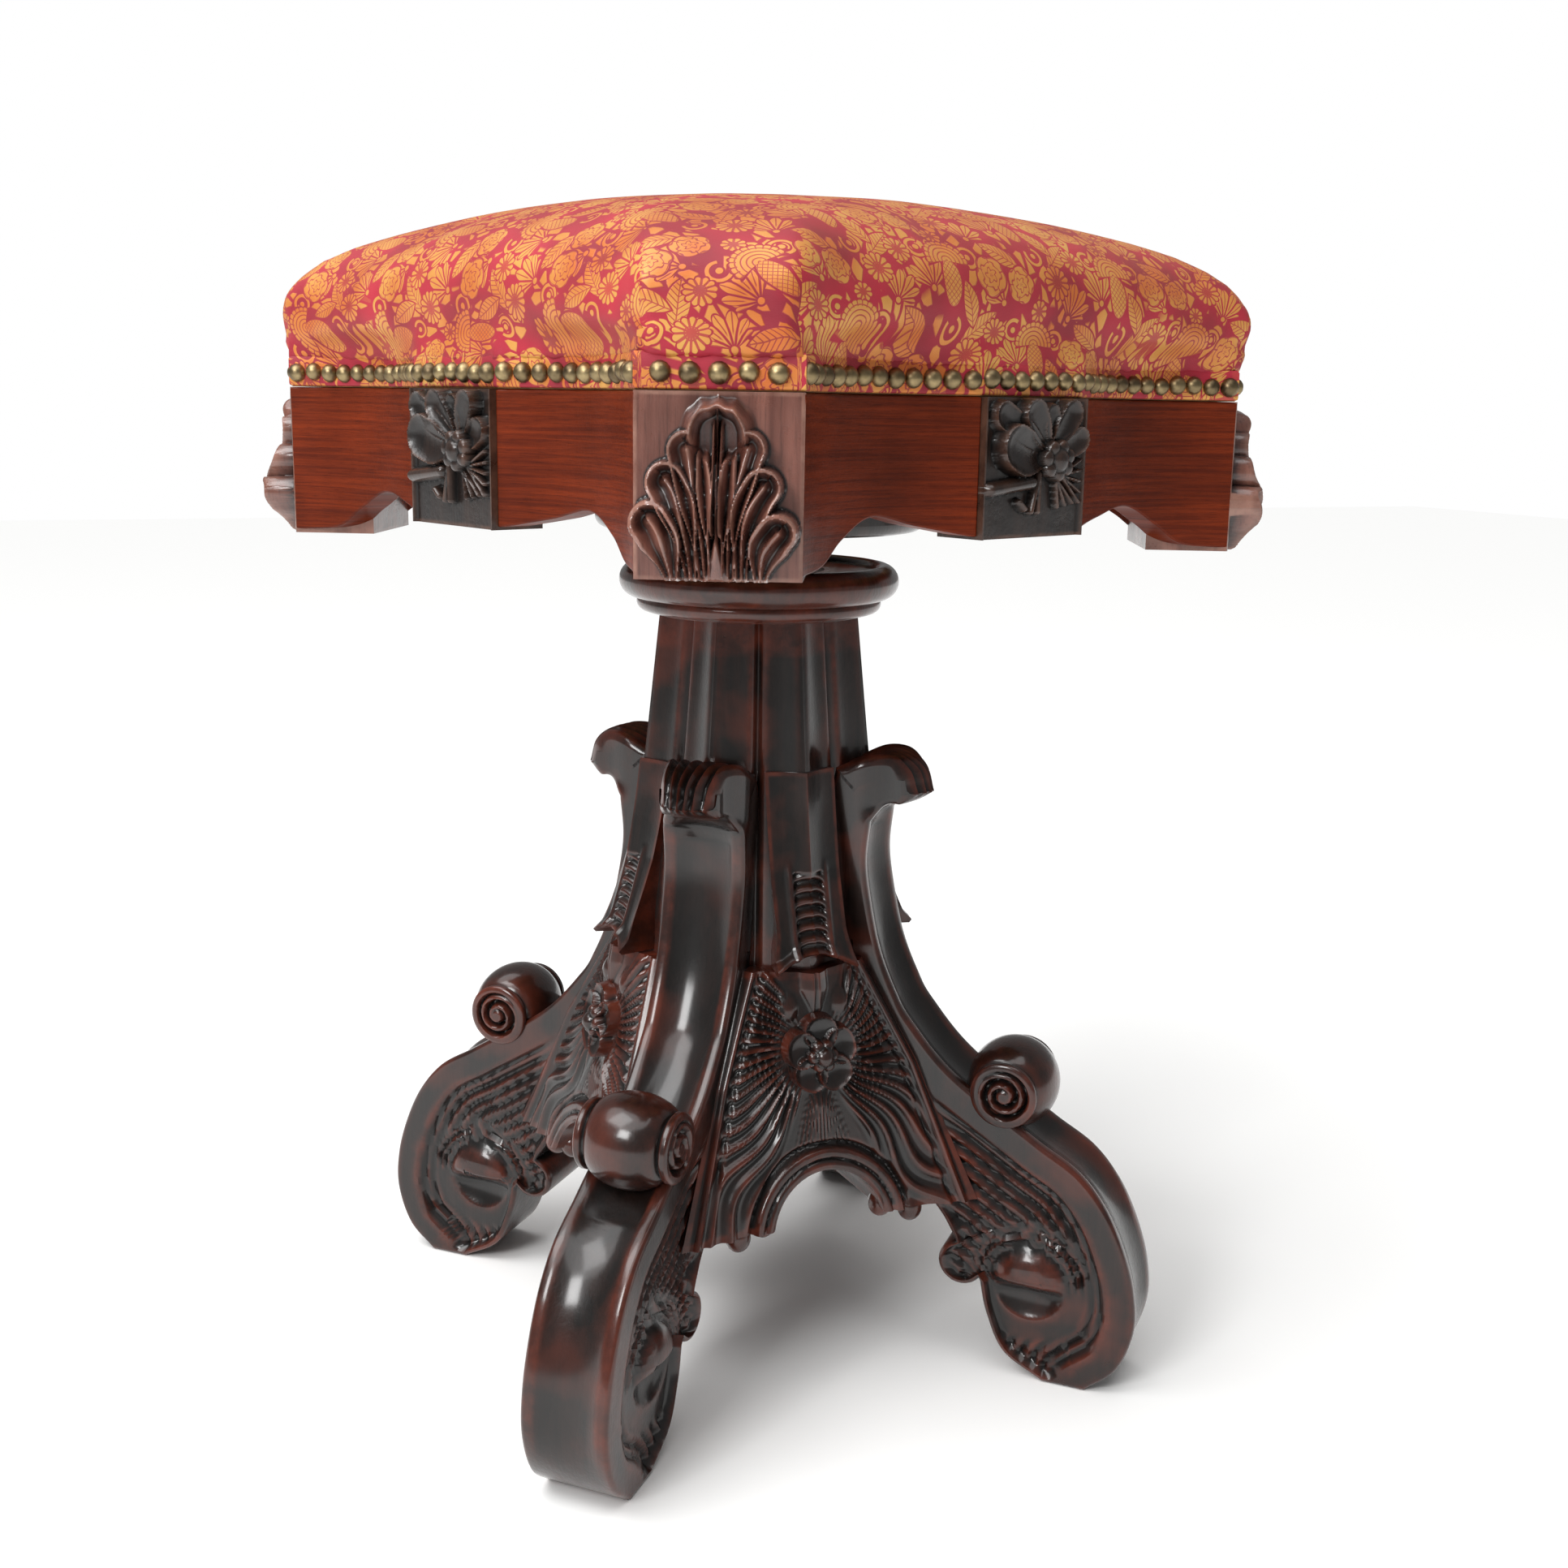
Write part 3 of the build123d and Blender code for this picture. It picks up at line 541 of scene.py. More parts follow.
@dataclass(frozen=True)
class Damask:
    """Figured silk damask: crimson satin ground under a dense half-drop repeat of flowers, shells and leaves.

    A motif is drawn in its own cell of the repeat, so that it may cross any border. Its edge is a number that
    is positive inside, in millimetres, and its lines, from 0 to 1, are thin ones of the ground's colour that part
    its petals and veins. The drawing's millimetre is scale millimetres of cloth; the filler's seeds and the
    patches of painted sheen are sized on the cloth.
    """

    name: str = "damask_silk"
    # The ground's two crimsons and the figure's two golds are mixed in random patches: a painted sheen.
    ground: str = "#AA1C34"
    ground_deep: str = "#861428"
    gold: str = "#C4682C"
    bright: str = "#D29A4C"
    scale: float = 0.84
    repeat: tuple = (58.0, 74.0)
    filler: float = 5.2
    filler_stretch: float = 0.62
    # size of the patches of painted sheen, millimetres
    painted_sheen_patch: float = 35.0
    # Silk threads lie about 0.2 mm apart; they are drawn four times as coarse, so that the weave shows at all.
    thread: float = 0.9
    # (motif, centre, turn in degrees, size, count)
    motifs: tuple = (
        (Motif.LEAF, (20.0, 33.0), 38.0, 25.0, 5.0),
        (Motif.LEAF, (-21.0, 31.0), 148.0, 24.0, 5.0),
        (Motif.LEAF, (12.0, -31.0), 112.0, 22.0, 4.6),
        (Motif.SPRAY, (22.0, 3.0), 62.0, 17.5, 4.0),
        (Motif.SPRAY, (-13.0, -26.0), 100.0, 18.5, 4.0),
        (Motif.SPRAY, (-24.0, 8.0), 128.0, 16.0, 3.0),
        (Motif.SCROLL, (14.0, -9.0), 20.0, 5.2, 2.0),
        (Motif.SCROLL, (-15.0, -4.0), 200.0, 5.0, 2.0),
        (Motif.SCROLL, (3.0, 32.0), 290.0, 4.6, 1.8),
        (Motif.CONE, (0.0, -22.0), 0.0, 11.5, 5.6),
        (Motif.ROSE, (26.5, -17.0), 15.0, 9.8, 5.0),
        (Motif.ROSE, (-12.0, 17.0), 40.0, 8.8, 5.0),
        (Motif.DAISY, (14.0, 19.5), 0.0, 8.2, 13.0),
        (Motif.DAISY, (-27.5, -6.0), 9.0, 7.2, 12.0),
        (Motif.DAISY, (1.0, 5.5), 5.0, 5.4, 9.0),
        (Motif.SHELL, (0.0, -11.5), 90.0, 12.5, 11.0),
    )

    def cell(self, x: Cloth, y: Cloth, centre: tuple, turn: float) -> tuple:
        """A motif's own axes: the way from the nearest of its places in the half-drop repeat.

        Args:
            x: across the cloth, millimetres.
            y: along the cloth.
            centre: the motif's centre in the repeat.
            turn: the motif's angle, degrees.

        Returns:
            Distance from its centre and angle from its own x axis.
        """
        wide, tall = self.repeat
        column = x.times_add(1 / wide, -centre[0] / wide)
        whole = column.join("ROUND")
        across = (column - whole) * wide
        row = (whole.times_add(-tall / 2, y)).times_add(1 / tall, -centre[1] / tall)
        along = (row - row.join("ROUND")) * tall
        far = (across * across).join("ADD", along * along).join("SQRT")
        angle = along.join("ARCTAN2", across) - math.radians(turn)
        return far, angle.join("WRAP", math.pi, -math.pi)

    def daisy(self, far: Cloth, angle: Cloth, size: float, count: float) -> tuple:
        """Daisy: round petals, parted by lines, about a ringed eye.

        Args:
            far: distance from its centre.
            angle: angle about it, radians.
            size: reach of a petal.
            count: petals.

        Returns:
            Its edge and its lines.
        """
        apart = angle.off(2 * math.pi / count)
        share = apart * (count / math.pi)
        edge = (share * (share * -1.0 + 2.0)).times_add(0.2 * size, 0.8 * size) - far
        lines = (apart * far - 0.22).join("MINIMUM", (far - 0.36 * size).join("ABSOLUTE"))
        return edge, lines.step(0.42, 0.2).join("MAXIMUM", far.step(0.9, 0.5))

    def rose(self, far: Cloth, angle: Cloth, size: float, count: float) -> tuple:
        """Rose: broad petals in rings whose lines wander with the angle.

        Args:
            far: distance from its centre.
            angle: angle about it, radians.
            size: reach of a petal.
            count: petals.

        Returns:
            Its edge and its lines.
        """
        share = angle.off(2 * math.pi / count) * (count / math.pi)
        edge = (share * (share * -1.0 + 2.0)).times_add(0.13 * size, 0.87 * size) - far
        rings = (far + (angle * count + far * 0.9).join("SINE") * 0.75).off(0.31 * size)
        radial = (angle.off(2 * math.pi / count) * far).join("MAXIMUM", (far - 0.62 * size) * -1.0)
        return edge, rings.join("MINIMUM", radial).step(0.45, 0.2)

    def spray(self, far: Cloth, angle: Cloth, size: float, count: float) -> tuple:
        """Leaf spray: separate round-ended fingers that spread from a foot.

        Args:
            far: distance from its centre.
            angle: angle about it, radians.
            size: length of the middle finger.
            count: how closely the fingers stand.

        Returns:
            Its edge and its lines.
        """
        turn = 2.2 / (count + 1)
        apart = angle.off(turn)
        share = apart * (2 / turn)
        lobe = share * (share * -1.0 + 2.0)
        tip = (angle * angle).times_add(-0.34 * size, size) - (lobe * -0.3 + 0.3) * size
        edge = (tip - far).join("MINIMUM", apart.times_add(far, -0.35))
        edge = edge.join("MINIMUM", (angle.join("ABSOLUTE") * -1.0 + 1.12) * 6.0)
        vein = (apart * -1.0 + turn / 2) * far
        veins = vein.step(0.38, 0.16) * far.step(0.3 * size, 0.4 * size)
        return edge.join("MAXIMUM", far * -1.0 + 1.6), veins

    def shell(self, far: Cloth, angle: Cloth, size: float, count: float) -> tuple:
        """Shell: nested arcs about a foot under a frilled rim, with a waist below.

        Args:
            far: distance from its centre.
            angle: angle about it, radians.
            size: reach of the rim.
            count: frills over half a turn.

        Returns:
            Its edge and its lines.
        """
        share = angle.off(2 * math.pi / (2 * count)) * (2 * count / math.pi)
        frill = (share * (share * -1.0 + 2.0)).times_add(0.09 * size, 0.93 * size)
        edge = (frill - far).join("MINIMUM", (angle.join("ABSOLUTE") * -1.0 + 1.75) * 8.0)
        arcs = (far - size * 0.04).off(size / 5.2)
        parted = (angle.off(2 * math.pi / (2 * count)) * far).join("MAXIMUM", far * -1.0 + 0.78 * size)
        return edge, arcs.join("MINIMUM", parted).step(0.44, 0.2)

    def leaf(self, far: Cloth, angle: Cloth, size: float, count: float) -> tuple:
        """Leaf: a pointed blade with slanting veins and a middle rib.

        Args:
            far: distance from its centre.
            angle: angle about it, radians.
            size: its length.
            count: its half width.

        Returns:
            Its edge and its lines.
        """
        x = far * angle.join("COSINE")
        y = (far * angle.join("SINE")).join("ABSOLUTE")
        swell = (x * x).times_add(-4.0 * count / size**2, count)
        veins = y.times_add(-0.9, x).off(2.7).join("MINIMUM", y + 0.05)
        return swell - y, veins.step(0.42, 0.18)

    def cone(self, far: Cloth, angle: Cloth, size: float, count: float) -> tuple:
        """Cone: an upright oval of scales.

        Args:
            far: distance from its centre.
            angle: angle about it, radians.
            size: half its height.
            count: half its width.

        Returns:
            Its edge and its lines.
        """
        x = far * angle.join("COSINE")
        y = far * angle.join("SINE")
        oval = ((x * x) * (1 / count**2)).join("ADD", (y * y) * (1 / size**2)).join("SQRT")
        scales = (x + y).off(2.9).join("MINIMUM", (x - y).off(2.9))
        return (oval * -1.0 + 1.0) * count, scales.step(0.34, 0.14)

    def scroll(self, far: Cloth, angle: Cloth, size: float, count: float) -> tuple:
        """Scroll: most of a ring, with a bud at its eye.

        Args:
            far: distance from its centre.
            angle: angle about it, radians.
            size: radius of the ring.
            count: the ring's width.

        Returns:
            Its edge, and no lines.
        """
        ring = (far - size).join("ABSOLUTE") * -1.0 + count / 2
        ring = ring.join("MINIMUM", (angle.join("ABSOLUTE") * -1.0 + 2.5) * 5.0)
        return ring.join("MAXIMUM", far * -1.0 + 0.34 * size), far * 0.0

    @functools.cache
    def material(self) -> bpy.types.Material:
        """Builds the material once.

        Returns:
            The material.
        """
        material, tree, shader = fresh(self.name, IOR=1.45, Sheen_Weight=0.15, Sheen_Roughness=0.5)
        shader.inputs["Sheen Tint"].default_value = linear("#F2C49A")
        cloth = add(tree, "UVMap", uv_map="flat").outputs[0]
        apart = add(tree, "SeparateXYZ", {0: cloth})
        x, y = (Cloth(tree, apart.outputs[k]) * (1 / (self.scale * MM)) for k in (0, 1))
        dense = 1 / (self.filler * MM)
        seeds = add(tree, "Mapping", {"Vector": cloth, "Scale": (dense, self.filler_stretch * dense, 1.0)})
        spread = {"Vector": seeds.outputs[0], "Scale": 1.0}
        crumbs = add(tree, "TexVoronoi", spread, feature="DISTANCE_TO_EDGE")
        chance = add(tree, "SeparateColor", {0: add(tree, "TexVoronoi", spread).outputs["Color"]})
        picked = Cloth(tree, chance.outputs[0]).step(0.40, 0.41)
        drawn = Cloth(tree, crumbs.outputs[0]).step(0.10, 0.16) * picked
        line = drawn * 0.0
        for motif, centre, turn, size, count in self.motifs:
            far, angle = self.cell(x, y, centre, turn)
            edge, own = getattr(self, motif.value)(far, angle, size, count)
            figure = edge.step(0.0, 0.28)
            clear = edge.step(-0.62, -0.95)
            drawn = (drawn * clear).join("MAXIMUM", figure)
            line = (line * clear).join("MAXIMUM", own * figure)
        # Painted sheen: random patches move the gold towards bright gold and the ground towards bright crimson.
        patch = add(tree, "TexNoise", {"Vector": cloth, "Scale": 1 / (MM * self.painted_sheen_patch), "Detail": 2.0})
        soft = Cloth(tree, patch.outputs[0]).step(0.36, 0.64)
        gold = add(
            tree, "Mix", {0: soft.value, 6: linear(self.gold), 7: linear(self.bright)}, data_type="RGBA"
        )
        ground = add(
            tree, "Mix", {0: soft.value, 6: linear(self.ground_deep), 7: linear(self.ground)}, data_type="RGBA"
        )
        shown = drawn * (line * -0.86 + 1.0)
        figured = add(
            tree, "Mix", {0: shown.value, 6: ground.outputs[2], 7: gold.outputs[2]}, data_type="RGBA"
        )
        tree.links.new(figured.outputs[2], shader.inputs["Base Color"])
        weave = (x + y).off(self.thread) * 0.6 + y.off(self.thread * 0.5)
        rough = drawn * -0.16 + 0.58
        tree.links.new(rough.value, shader.inputs["Roughness"])
        metal = shown * 0.22
        tree.links.new(metal.value, shader.inputs["Metallic"])
        height = shown + weave * 0.5
        raised = add(tree, "Bump", {"Height": height.value, "Strength": 0.35, "Distance": 0.0004})
        tree.links.new(raised.outputs[0], shader.inputs["Normal"])
        return material


# Rosewood base under old dark polish: near black, brown-red where hands and feet wear it, painted shade in its
# hollows.
ROSEWOOD = PolishedWood(
    "rosewood_polished", "#0F0A08", "#20120E", "#6E2E1C", "#090605",
    rub_and_highlight=0.5, blush=0.28, polish=0.85, gleam=0.16,
)
# Mahogany veneer on the frieze: warm red-brown, its grain running level.
MAHOGANY = PolishedWood(
    "mahogany_polished", "#511A08", "#6B260C", "#8E4A26", "#240C06",
    streak=(60.0, 1.5, 1.5), pore=(7.0, 0.4, 0.4), on_map=True,
    roughness=0.46, polish=0.06, rub_and_highlight=0.0, gleam=0.10,
)
# Walnut carving on the corners, plum brown; its ribs paler as wear and as a painted highlight.
WALNUT = PolishedWood(
    "walnut_carved", "#552F26", "#7E5044", "#9A7262", "#180A07",
    roughness=0.30, polish=0.85, polish_roughness=0.14, rub_and_highlight=0.7,
)
# Walnut carving at the middle of each side, stained nearly black.
EBONISED = PolishedWood(
    "walnut_ebonised", "#140D0B", "#281A14", "#52382C", "#080504", roughness=0.30, polish=0.35
)
# Pine and beech inside the seat, unpolished and brown with age.
FRAME_TIMBER = PolishedWood(
    "frame_timber_raw", "#6A4526", "#8F6238", "#A47A4A", "#3A2413",
    streak=(160.0, 7.0, 7.0), pore=(24.0, 1.5, 1.5), roughness=0.72, polish=0.0,
)
# Forged iron screw and its plates, dark with old grease.
IRON = Metal("wrought_iron", "#6E6A66", "#2C2623", 0.42)
# Steel wood screws: pale grey, browned in patches.
STEEL = Metal("screw_steel", "#9A9791", "#4A443E", 0.35, grain_mm=1.0)
# Brass upholstery nails gone brown-gold.
BRASS = Metal("antique_brass", "#9C8A66", "#655742", 0.40, grain_mm=1.6)
# Sole leather washer under the seat's plate: a dull tan with a pebbled face.
HIDE = Leather("hide_vegetable_tanned", "#8A5A34", "#4A2C18")
# Silk damask on the seat: a crimson satin ground, a gold and old-orange figure, a soft sheen and patches of
# painted sheen.
DAMASK = Damask()


# ---------------------------------------------------------------- pieces
def put(name: str, data: bpy.types.ID) -> bpy.types.Object:
    """Makes an object and puts it in the scene.

    Args:
        name: the object's name.
        data: its mesh, lamp or camera.

    Returns:
        The object.
    """
    made = bpy.data.objects.new(name, data)
    bpy.context.scene.collection.objects.link(made)
    return made


def vectors(mesh: bpy.types.Mesh, name: str) -> Array:
    """Every vertex's place or normal.

    Args:
        mesh: the mesh.
        name: co or normal.

    Returns:
        Array (vertices, 3), metres for co.
    """
    values = np.zeros(len(mesh.vertices) * 3)
    mesh.vertices.foreach_get(name, values)
    return values.reshape(-1, 3)


def close_up(mesh: bpy.types.Mesh) -> None:
    """Merges the doubled points of seams and poles, and turns the faces outwards.

    Args:
        mesh: the new mesh.
    """
    work = bmesh.new()
    work.from_mesh(mesh)
    bmesh.ops.remove_doubles(work, verts=work.verts, dist=1e-6)
    bmesh.ops.recalc_face_normals(work, faces=work.faces)
    work.to_mesh(mesh)
    work.free()


def wear_and_shade_marks(mesh: bpy.types.Mesh, rounds: int = 8, depth: float = 0.00035) -> None:
    """Marks each vertex with how far it stands out of, or sinks into, its smoothed surroundings.

    The surface is averaged with its neighbours a few times; the step from there to the true point, along the
    normal, is the wear where it points out and the cavity where it points in. The wood finishes paint shade in
    the cavity, where the metals put tarnish; on the walnut the wear's paler colour is also a painted highlight.

    Args:
        mesh: the finished mesh.
        rounds: how many times it is averaged.
        depth: the step that counts as full wear, metres.
    """
    count = len(mesh.vertices)
    points, normals = vectors(mesh, "co"), vectors(mesh, "normal")
    ends = np.zeros(len(mesh.edges) * 2, int)
    mesh.edges.foreach_get("vertices", ends)
    one, two = ends.reshape(-1, 2).T
    share = np.maximum(np.bincount(one, minlength=count) + np.bincount(two, minlength=count), 1)[:, None]
    soft = points.copy()
    for _ in range(rounds):
        total = [np.bincount(one, along[two], count) + np.bincount(two, along[one], count) for along in soft.T]
        soft = 0.5 * soft + 0.5 * np.stack(total, -1) / share
    step = ((points - soft) * normals).sum(1) / depth
    for name, values in (("wear", np.clip(step, 0, 1)), ("cavity", np.clip(-step, 0, 1))):
        mark = mesh.attributes.new(name, "FLOAT", "POINT")
        mark.data.foreach_set("value", values.astype(np.float32))


def piece(name: str, shells: list, finish: object, body: Body, stands_for: tuple = (),
          sharp: float = 50.0, bevel: float = 0.0) -> bpy.types.Object:
    """Makes one object of closed shells, dresses it and puts it on its body.

    Args:
        name: the object's name.
        shells: the shells that it consists of.
        finish: what gives its material.
        body: the body it moves with.
        stands_for: CAD nodes that it replaces.
        sharp: edges that turn by more than this stay sharp, degrees.
        bevel: width of the rounding on sharp edges, millimetres, 0 for none.

    Returns:
        The object.
    """
    starts = np.cumsum([0] + [len(s.points) for s in shells[:-1]])
    points = np.vstack([s.points for s in shells]) * MM
    quads = np.vstack([s.quads + start for s, start in zip(shells, starts)])
    mesh = bpy.data.meshes.new(name)
    mesh.from_pydata(points.tolist(), [], quads.tolist())
    if shells[0].flat is not None:
        flat = np.vstack([s.flat for s in shells])
        layer = mesh.uv_layers.new(name="flat")
        layer.data.foreach_set("uv", flat[quads.ravel()].astype(np.float32).ravel())
    close_up(mesh)
    mesh.polygons.foreach_set("use_smooth", np.ones(len(mesh.polygons), bool))
    mesh.set_sharp_from_angle(angle=math.radians(sharp))
    wear_and_shade_marks(mesh)
    made = put(name, mesh)
    mesh.materials.append(finish.material())
    if bevel:
        rounding = made.modifiers.new("rounding", "BEVEL")
        rounding.width = bevel * MM
        rounding.segments = 2
        rounding.limit_method = "ANGLE"
        rounding.angle_limit = math.radians(sharp)
    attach(made, body.value)
    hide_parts(*stands_for)
    LOG.info("%s: %d faces", name, len(mesh.polygons))
    return made


def dress(nodes: tuple, finish: object) -> None:
    """Gives carried-over CAD nodes their finish.

    Args:
        nodes: names of the nodes.
        finish: what gives the material.
    """
    for name in nodes:
        mesh = frame["nodes"][name].data
        mesh.materials.clear()
        mesh.materials.append(finish.material())


# ---------------------------------------------------------------- pillar
@dataclass
class Pillar:
    """The tapering shaft of eight lobes and the turned capital on it."""

    heights: tuple = (196.0, 240.0, 297.0, 351.0)
    arrises: tuple = (67.0, 63.0, 56.0, 50.0)
    groove_share: float = 0.885
    lobes: int = 8
    hollow: float = 1.6
    cut: float = 3.2
    cut_width: float = 0.10
    easing: float = 0.9
    housing: float = 9.0
    # (radius, height) of the capital's small ring and large roll, and of its face and dish
    ring: tuple = ((51.5, 352.2), (57.0, 356.0), (51.8, 359.8))
    roll: tuple = ((51.5, 360.6), (65.0, 367.0), (58.0, 374.0))
    foot: tuple = ((0.0, 351.0), (50.0, 351.0), (51.0, 352.0))
    dish: tuple = ((54.8, 372.9), (53.6, 371.4), (52.0, 371.0), (30.4, 371.0), (30.2, 367.5), (0.0, 367.5))

    def shaft(self) -> None:
        """Shaft: at each height the plan goes from arris to groove by a hollow flank, with a V cut in the groove.

        With w from 0 in the groove to 1 on the arris, the point is on the line between them, less the hollow
        times sin(pi w)^1.5, less the cut times a narrow bell at w = 0, and the arris is eased by a narrow bell at
        w = 1. Under each leg the lobe is sunk, so that the hollow of the strap stays clear of it.
        """
        z = np.linspace(self.heights[0], self.heights[-1], 40)[:, None]
        arris = np.interp(z, self.heights, self.arrises)
        steps = 26
        k = np.arange(2 * self.lobes * steps)
        lobe = k // steps
        share = (k % steps) / steps
        eased = 0.5 - 0.5 * np.cos(math.pi * share)
        w = np.where(lobe % 2 == 0, 1.0 - eased, eased)
        turn = math.pi / self.lobes
        from_arris = np.where(lobe % 2 == 0, lobe, lobe + 1) * turn
        from_groove = np.where(lobe % 2 == 0, lobe + 1, lobe) * turn
        groove = arris * self.groove_share
        x = arris * w * np.cos(from_arris) + groove * (1 - w) * np.cos(from_groove)
        y = arris * w * np.sin(from_arris) + groove * (1 - w) * np.sin(from_groove)
        inwards = self.hollow * np.sin(math.pi * w) ** 1.5 + self.cut * np.exp(-((w / self.cut_width) ** 2))
        inwards = inwards + self.easing * np.exp(-(((1 - w) / self.cut_width) ** 2))
        reach = np.hypot(x, y)
        wall = np.stack([x * (1 - inwards / reach), y * (1 - inwards / reach), z + 0 * x], -1)
        for corner in Corner:
            local = place(wall[..., 0], wall[..., 1], wall[..., 2], -corner.value)
            under = smooth(np.abs(local[..., 1]), 19.0, 15.5) * smooth(local[..., 2], 280.0, 268.0)
            local[..., 0] -= self.housing * under * (local[..., 0] > 0)
            wall = place(local[..., 0], local[..., 1], local[..., 2], corner.value)
        low = np.zeros_like(wall[:1]) + [0, 0, self.heights[0]]
        high = np.zeros_like(wall[:1]) + [0, 0, self.heights[-1]]
        shell = sheet(np.vstack([low, wall, high]), close_columns=True)
        piece("fluted_shaft", [shell], ROSEWOOD, Body.BASE, ("pillar_shaft",))

    def capital(self) -> None:
        """Capital: a large half round over a small one, with a fillet between, and a dished top."""
        profile = np.vstack([self.foot, arc(*self.ring, 14), arc(*self.roll, 20), self.dish])
        turned = lathe(profile, 128)
        piece("turned_capital", [turned], ROSEWOOD, Body.BASE, ("capital",), sharp=35.0)


# ---------------------------------------------------------------- legs
@dataclass
class Leg:
    """One strap leg: a fluted leaf at the shaft, a hollowed strap, and a scrolled foot."""

    corner: Corner
    half_width: float = 20.0
    edge_radius: float = 2.2
    border: float = 5.0
    strap_hollow: float = 5.0
    foot_hollow: float = 3.4
    flutes: int = 6
    flute_depth: float = 3.0
    curl_width: float = 0.72
    tip_width: float = 0.22
    tip_round: float = 6.0
    leaf: tuple = ((46.0, 284.0), (60.0, 290.5), (73.0, 291.0), (84.0, 284.5), (88.0, 273.0))
    under: tuple = ((88.0, 273.0), (80.0, 268.5), (70.0, 268.0), (63.5, 260.0))
    strap: tuple = (
        (63.5, 260.0), (62.0, 241.0), (64.6, 222.0), (70.0, 199.0), (78.0, 180.0), (86.0, 167.0),
        (108.0, 144.0), (150.0, 117.0),
    )
    foot: tuple = (
        (150.0, 117.0), (168.0, 106.0), (181.0, 91.0), (190.0, 73.0), (196.0, 53.0), (197.0, 33.0),
        (190.0, 13.0), (176.0, 0.0),
    )
    heel: tuple = ((176.0, 0.0), (166.0, 0.0), (156.0, 0.0))
    back: tuple = ((156.0, 0.0), (137.0, 11.0), (128.0, 29.0), (124.0, 46.0))
    bead: tuple = ((124.0, 46.0), (104.0, 54.0), (112.0, 63.0))
    inner: tuple = (
        (112.0, 63.0), (104.0, 76.0), (92.0, 88.0), (72.0, 98.0), (30.0, 104.0), (30.0, 196.0), (44.0, 196.0),
        (44.0, 264.0), (46.0, 284.0),
    )
    spine: tuple = (
        (80.0, 280.0), (66.0, 279.0), (55.0, 272.0), (54.0, 250.0), (55.0, 225.0), (58.0, 199.0),
        (63.0, 178.0), (70.0, 160.0), (84.0, 140.0), (100.0, 126.0), (120.0, 110.0), (140.0, 92.0),
        (152.0, 70.0), (155.0, 45.0),
    )
    eye: tuple = (147.5, 46.0)
    eye_radius: float = 17.5
    dome: float = 6.5
    scoop: float = 4.5
    ground: float = 4.2
    ribs: float = 1.5
    rib_pitch: float = 3.5
    veins: float = 1.3
    vein_pitch: float = 6.0

    def outline(self) -> tuple:
        """Outline in (outwards, up), with how much of the leaf and how deep a channel each point has.

        Returns:
            Points (n, 2), outward normals (n, 2), leaf share (n,), channel depth (n,).
        """
        inner = np.vstack([curve(self.inner[:4], 22), curve(self.inner[3:], 40)])
        runs = [
            curve(self.leaf, 50), curve(self.under, 26), curve(self.strap, 80), curve(self.foot, 90),
            curve(self.heel, 8), curve(self.back, 34), arc(*self.bead, 18), inner,
        ]
        leaf = [1, 0, 0, 0, 0, 0, 0, 0]
        hollow = [0, 0, self.strap_hollow, self.foot_hollow, 0, 0, 0, 0]
        points = np.vstack([run[:-1] for run in runs])
        sizes = [len(run) - 1 for run in runs]
        leaf = np.repeat(leaf, sizes).astype(float)
        hollow = np.repeat(hollow, sizes).astype(float)
        kernel = np.ones(9) / 9
        leaf, hollow = (
            np.convolve(np.concatenate([v[-4:], v, v[:4]]), kernel, "valid") for v in (leaf, hollow)
        )
        hollow = hollow * smooth(points[:, 1], 14.0, 45.0)
        ahead = np.roll(points, -1, 0) - np.roll(points, 1, 0)
        ahead /= np.linalg.norm(ahead, axis=1)[:, None]
        normals = np.stack([-ahead[:, 1], ahead[:, 0]], -1)
        return points, normals, leaf, hollow

    def rim(self, points: Array, normals: Array, leaf: Array, hollow: Array) -> Array:
        """Outer face all round the outline, as a grid (outline, across).

        A point is the outline's, moved inwards by the sum of three: the quarter round of the edge, the channel
        depth times 1 - (across / channel)^2.2, and on the leaf flutes that run along it, 1 - (1 - |cos|)^0.7 of
        their depth. The tip of the curl is drawn in by the square of the way across.

        Args:
            points: outline.
            normals: its outward normals.
            leaf: leaf share.
            hollow: channel depth.

        Returns:
            Array (outline, across, 3) of (outwards, sideways, up).
        """
        turn = np.linspace(0, math.pi / 2, 6)
        edge = self.half_width - self.edge_radius * (1 - np.cos(turn))
        middle = np.linspace(-1, 1, 23)[1:-1] * (self.half_width - self.edge_radius)
        across = np.concatenate([-edge, middle, edge[::-1]])
        eased = np.concatenate([1 - np.sin(turn), 0 * middle, 1 - np.sin(turn[::-1])]) * self.edge_radius
        channel = self.half_width - self.border
        cove = np.where(np.abs(across) < channel, 1 - (np.abs(across) / channel) ** 2.2, 0.0)
        ribs = 1 - np.abs(np.cos(math.pi * self.flutes * across / (2 * self.half_width)))
        inwards = eased + hollow[:, None] * cove + self.flute_depth * leaf[:, None] * (1 - ribs**0.7)
        moved = points[:, None] - inwards[..., None] * normals[:, None]
        tip = smooth(points[:, 0], 70.0, 86.0) * (points[:, 1] > 265)
        moved[..., 0] -= self.tip_round * tip[:, None] * (across / self.half_width) ** 2
        wide = self.narrow(moved[..., 0], moved[..., 1])
        return np.stack([moved[..., 0], across * wide, moved[..., 1]], -1)

    def narrow(self, out: Array, up: Array) -> Array:
        """Share of the strap's width, less where the leaf curls away from the shaft and again at its tip.

        Args:
            out: distance outwards.
            up: height.

        Returns:
            Shares.
        """
        curl = (1 - self.curl_width) * smooth(out, 56.0, 76.0) + self.tip_width * smooth(out, 75.0, 90.0)
        return 1 - curl * smooth(up, 258.0, 268.0)

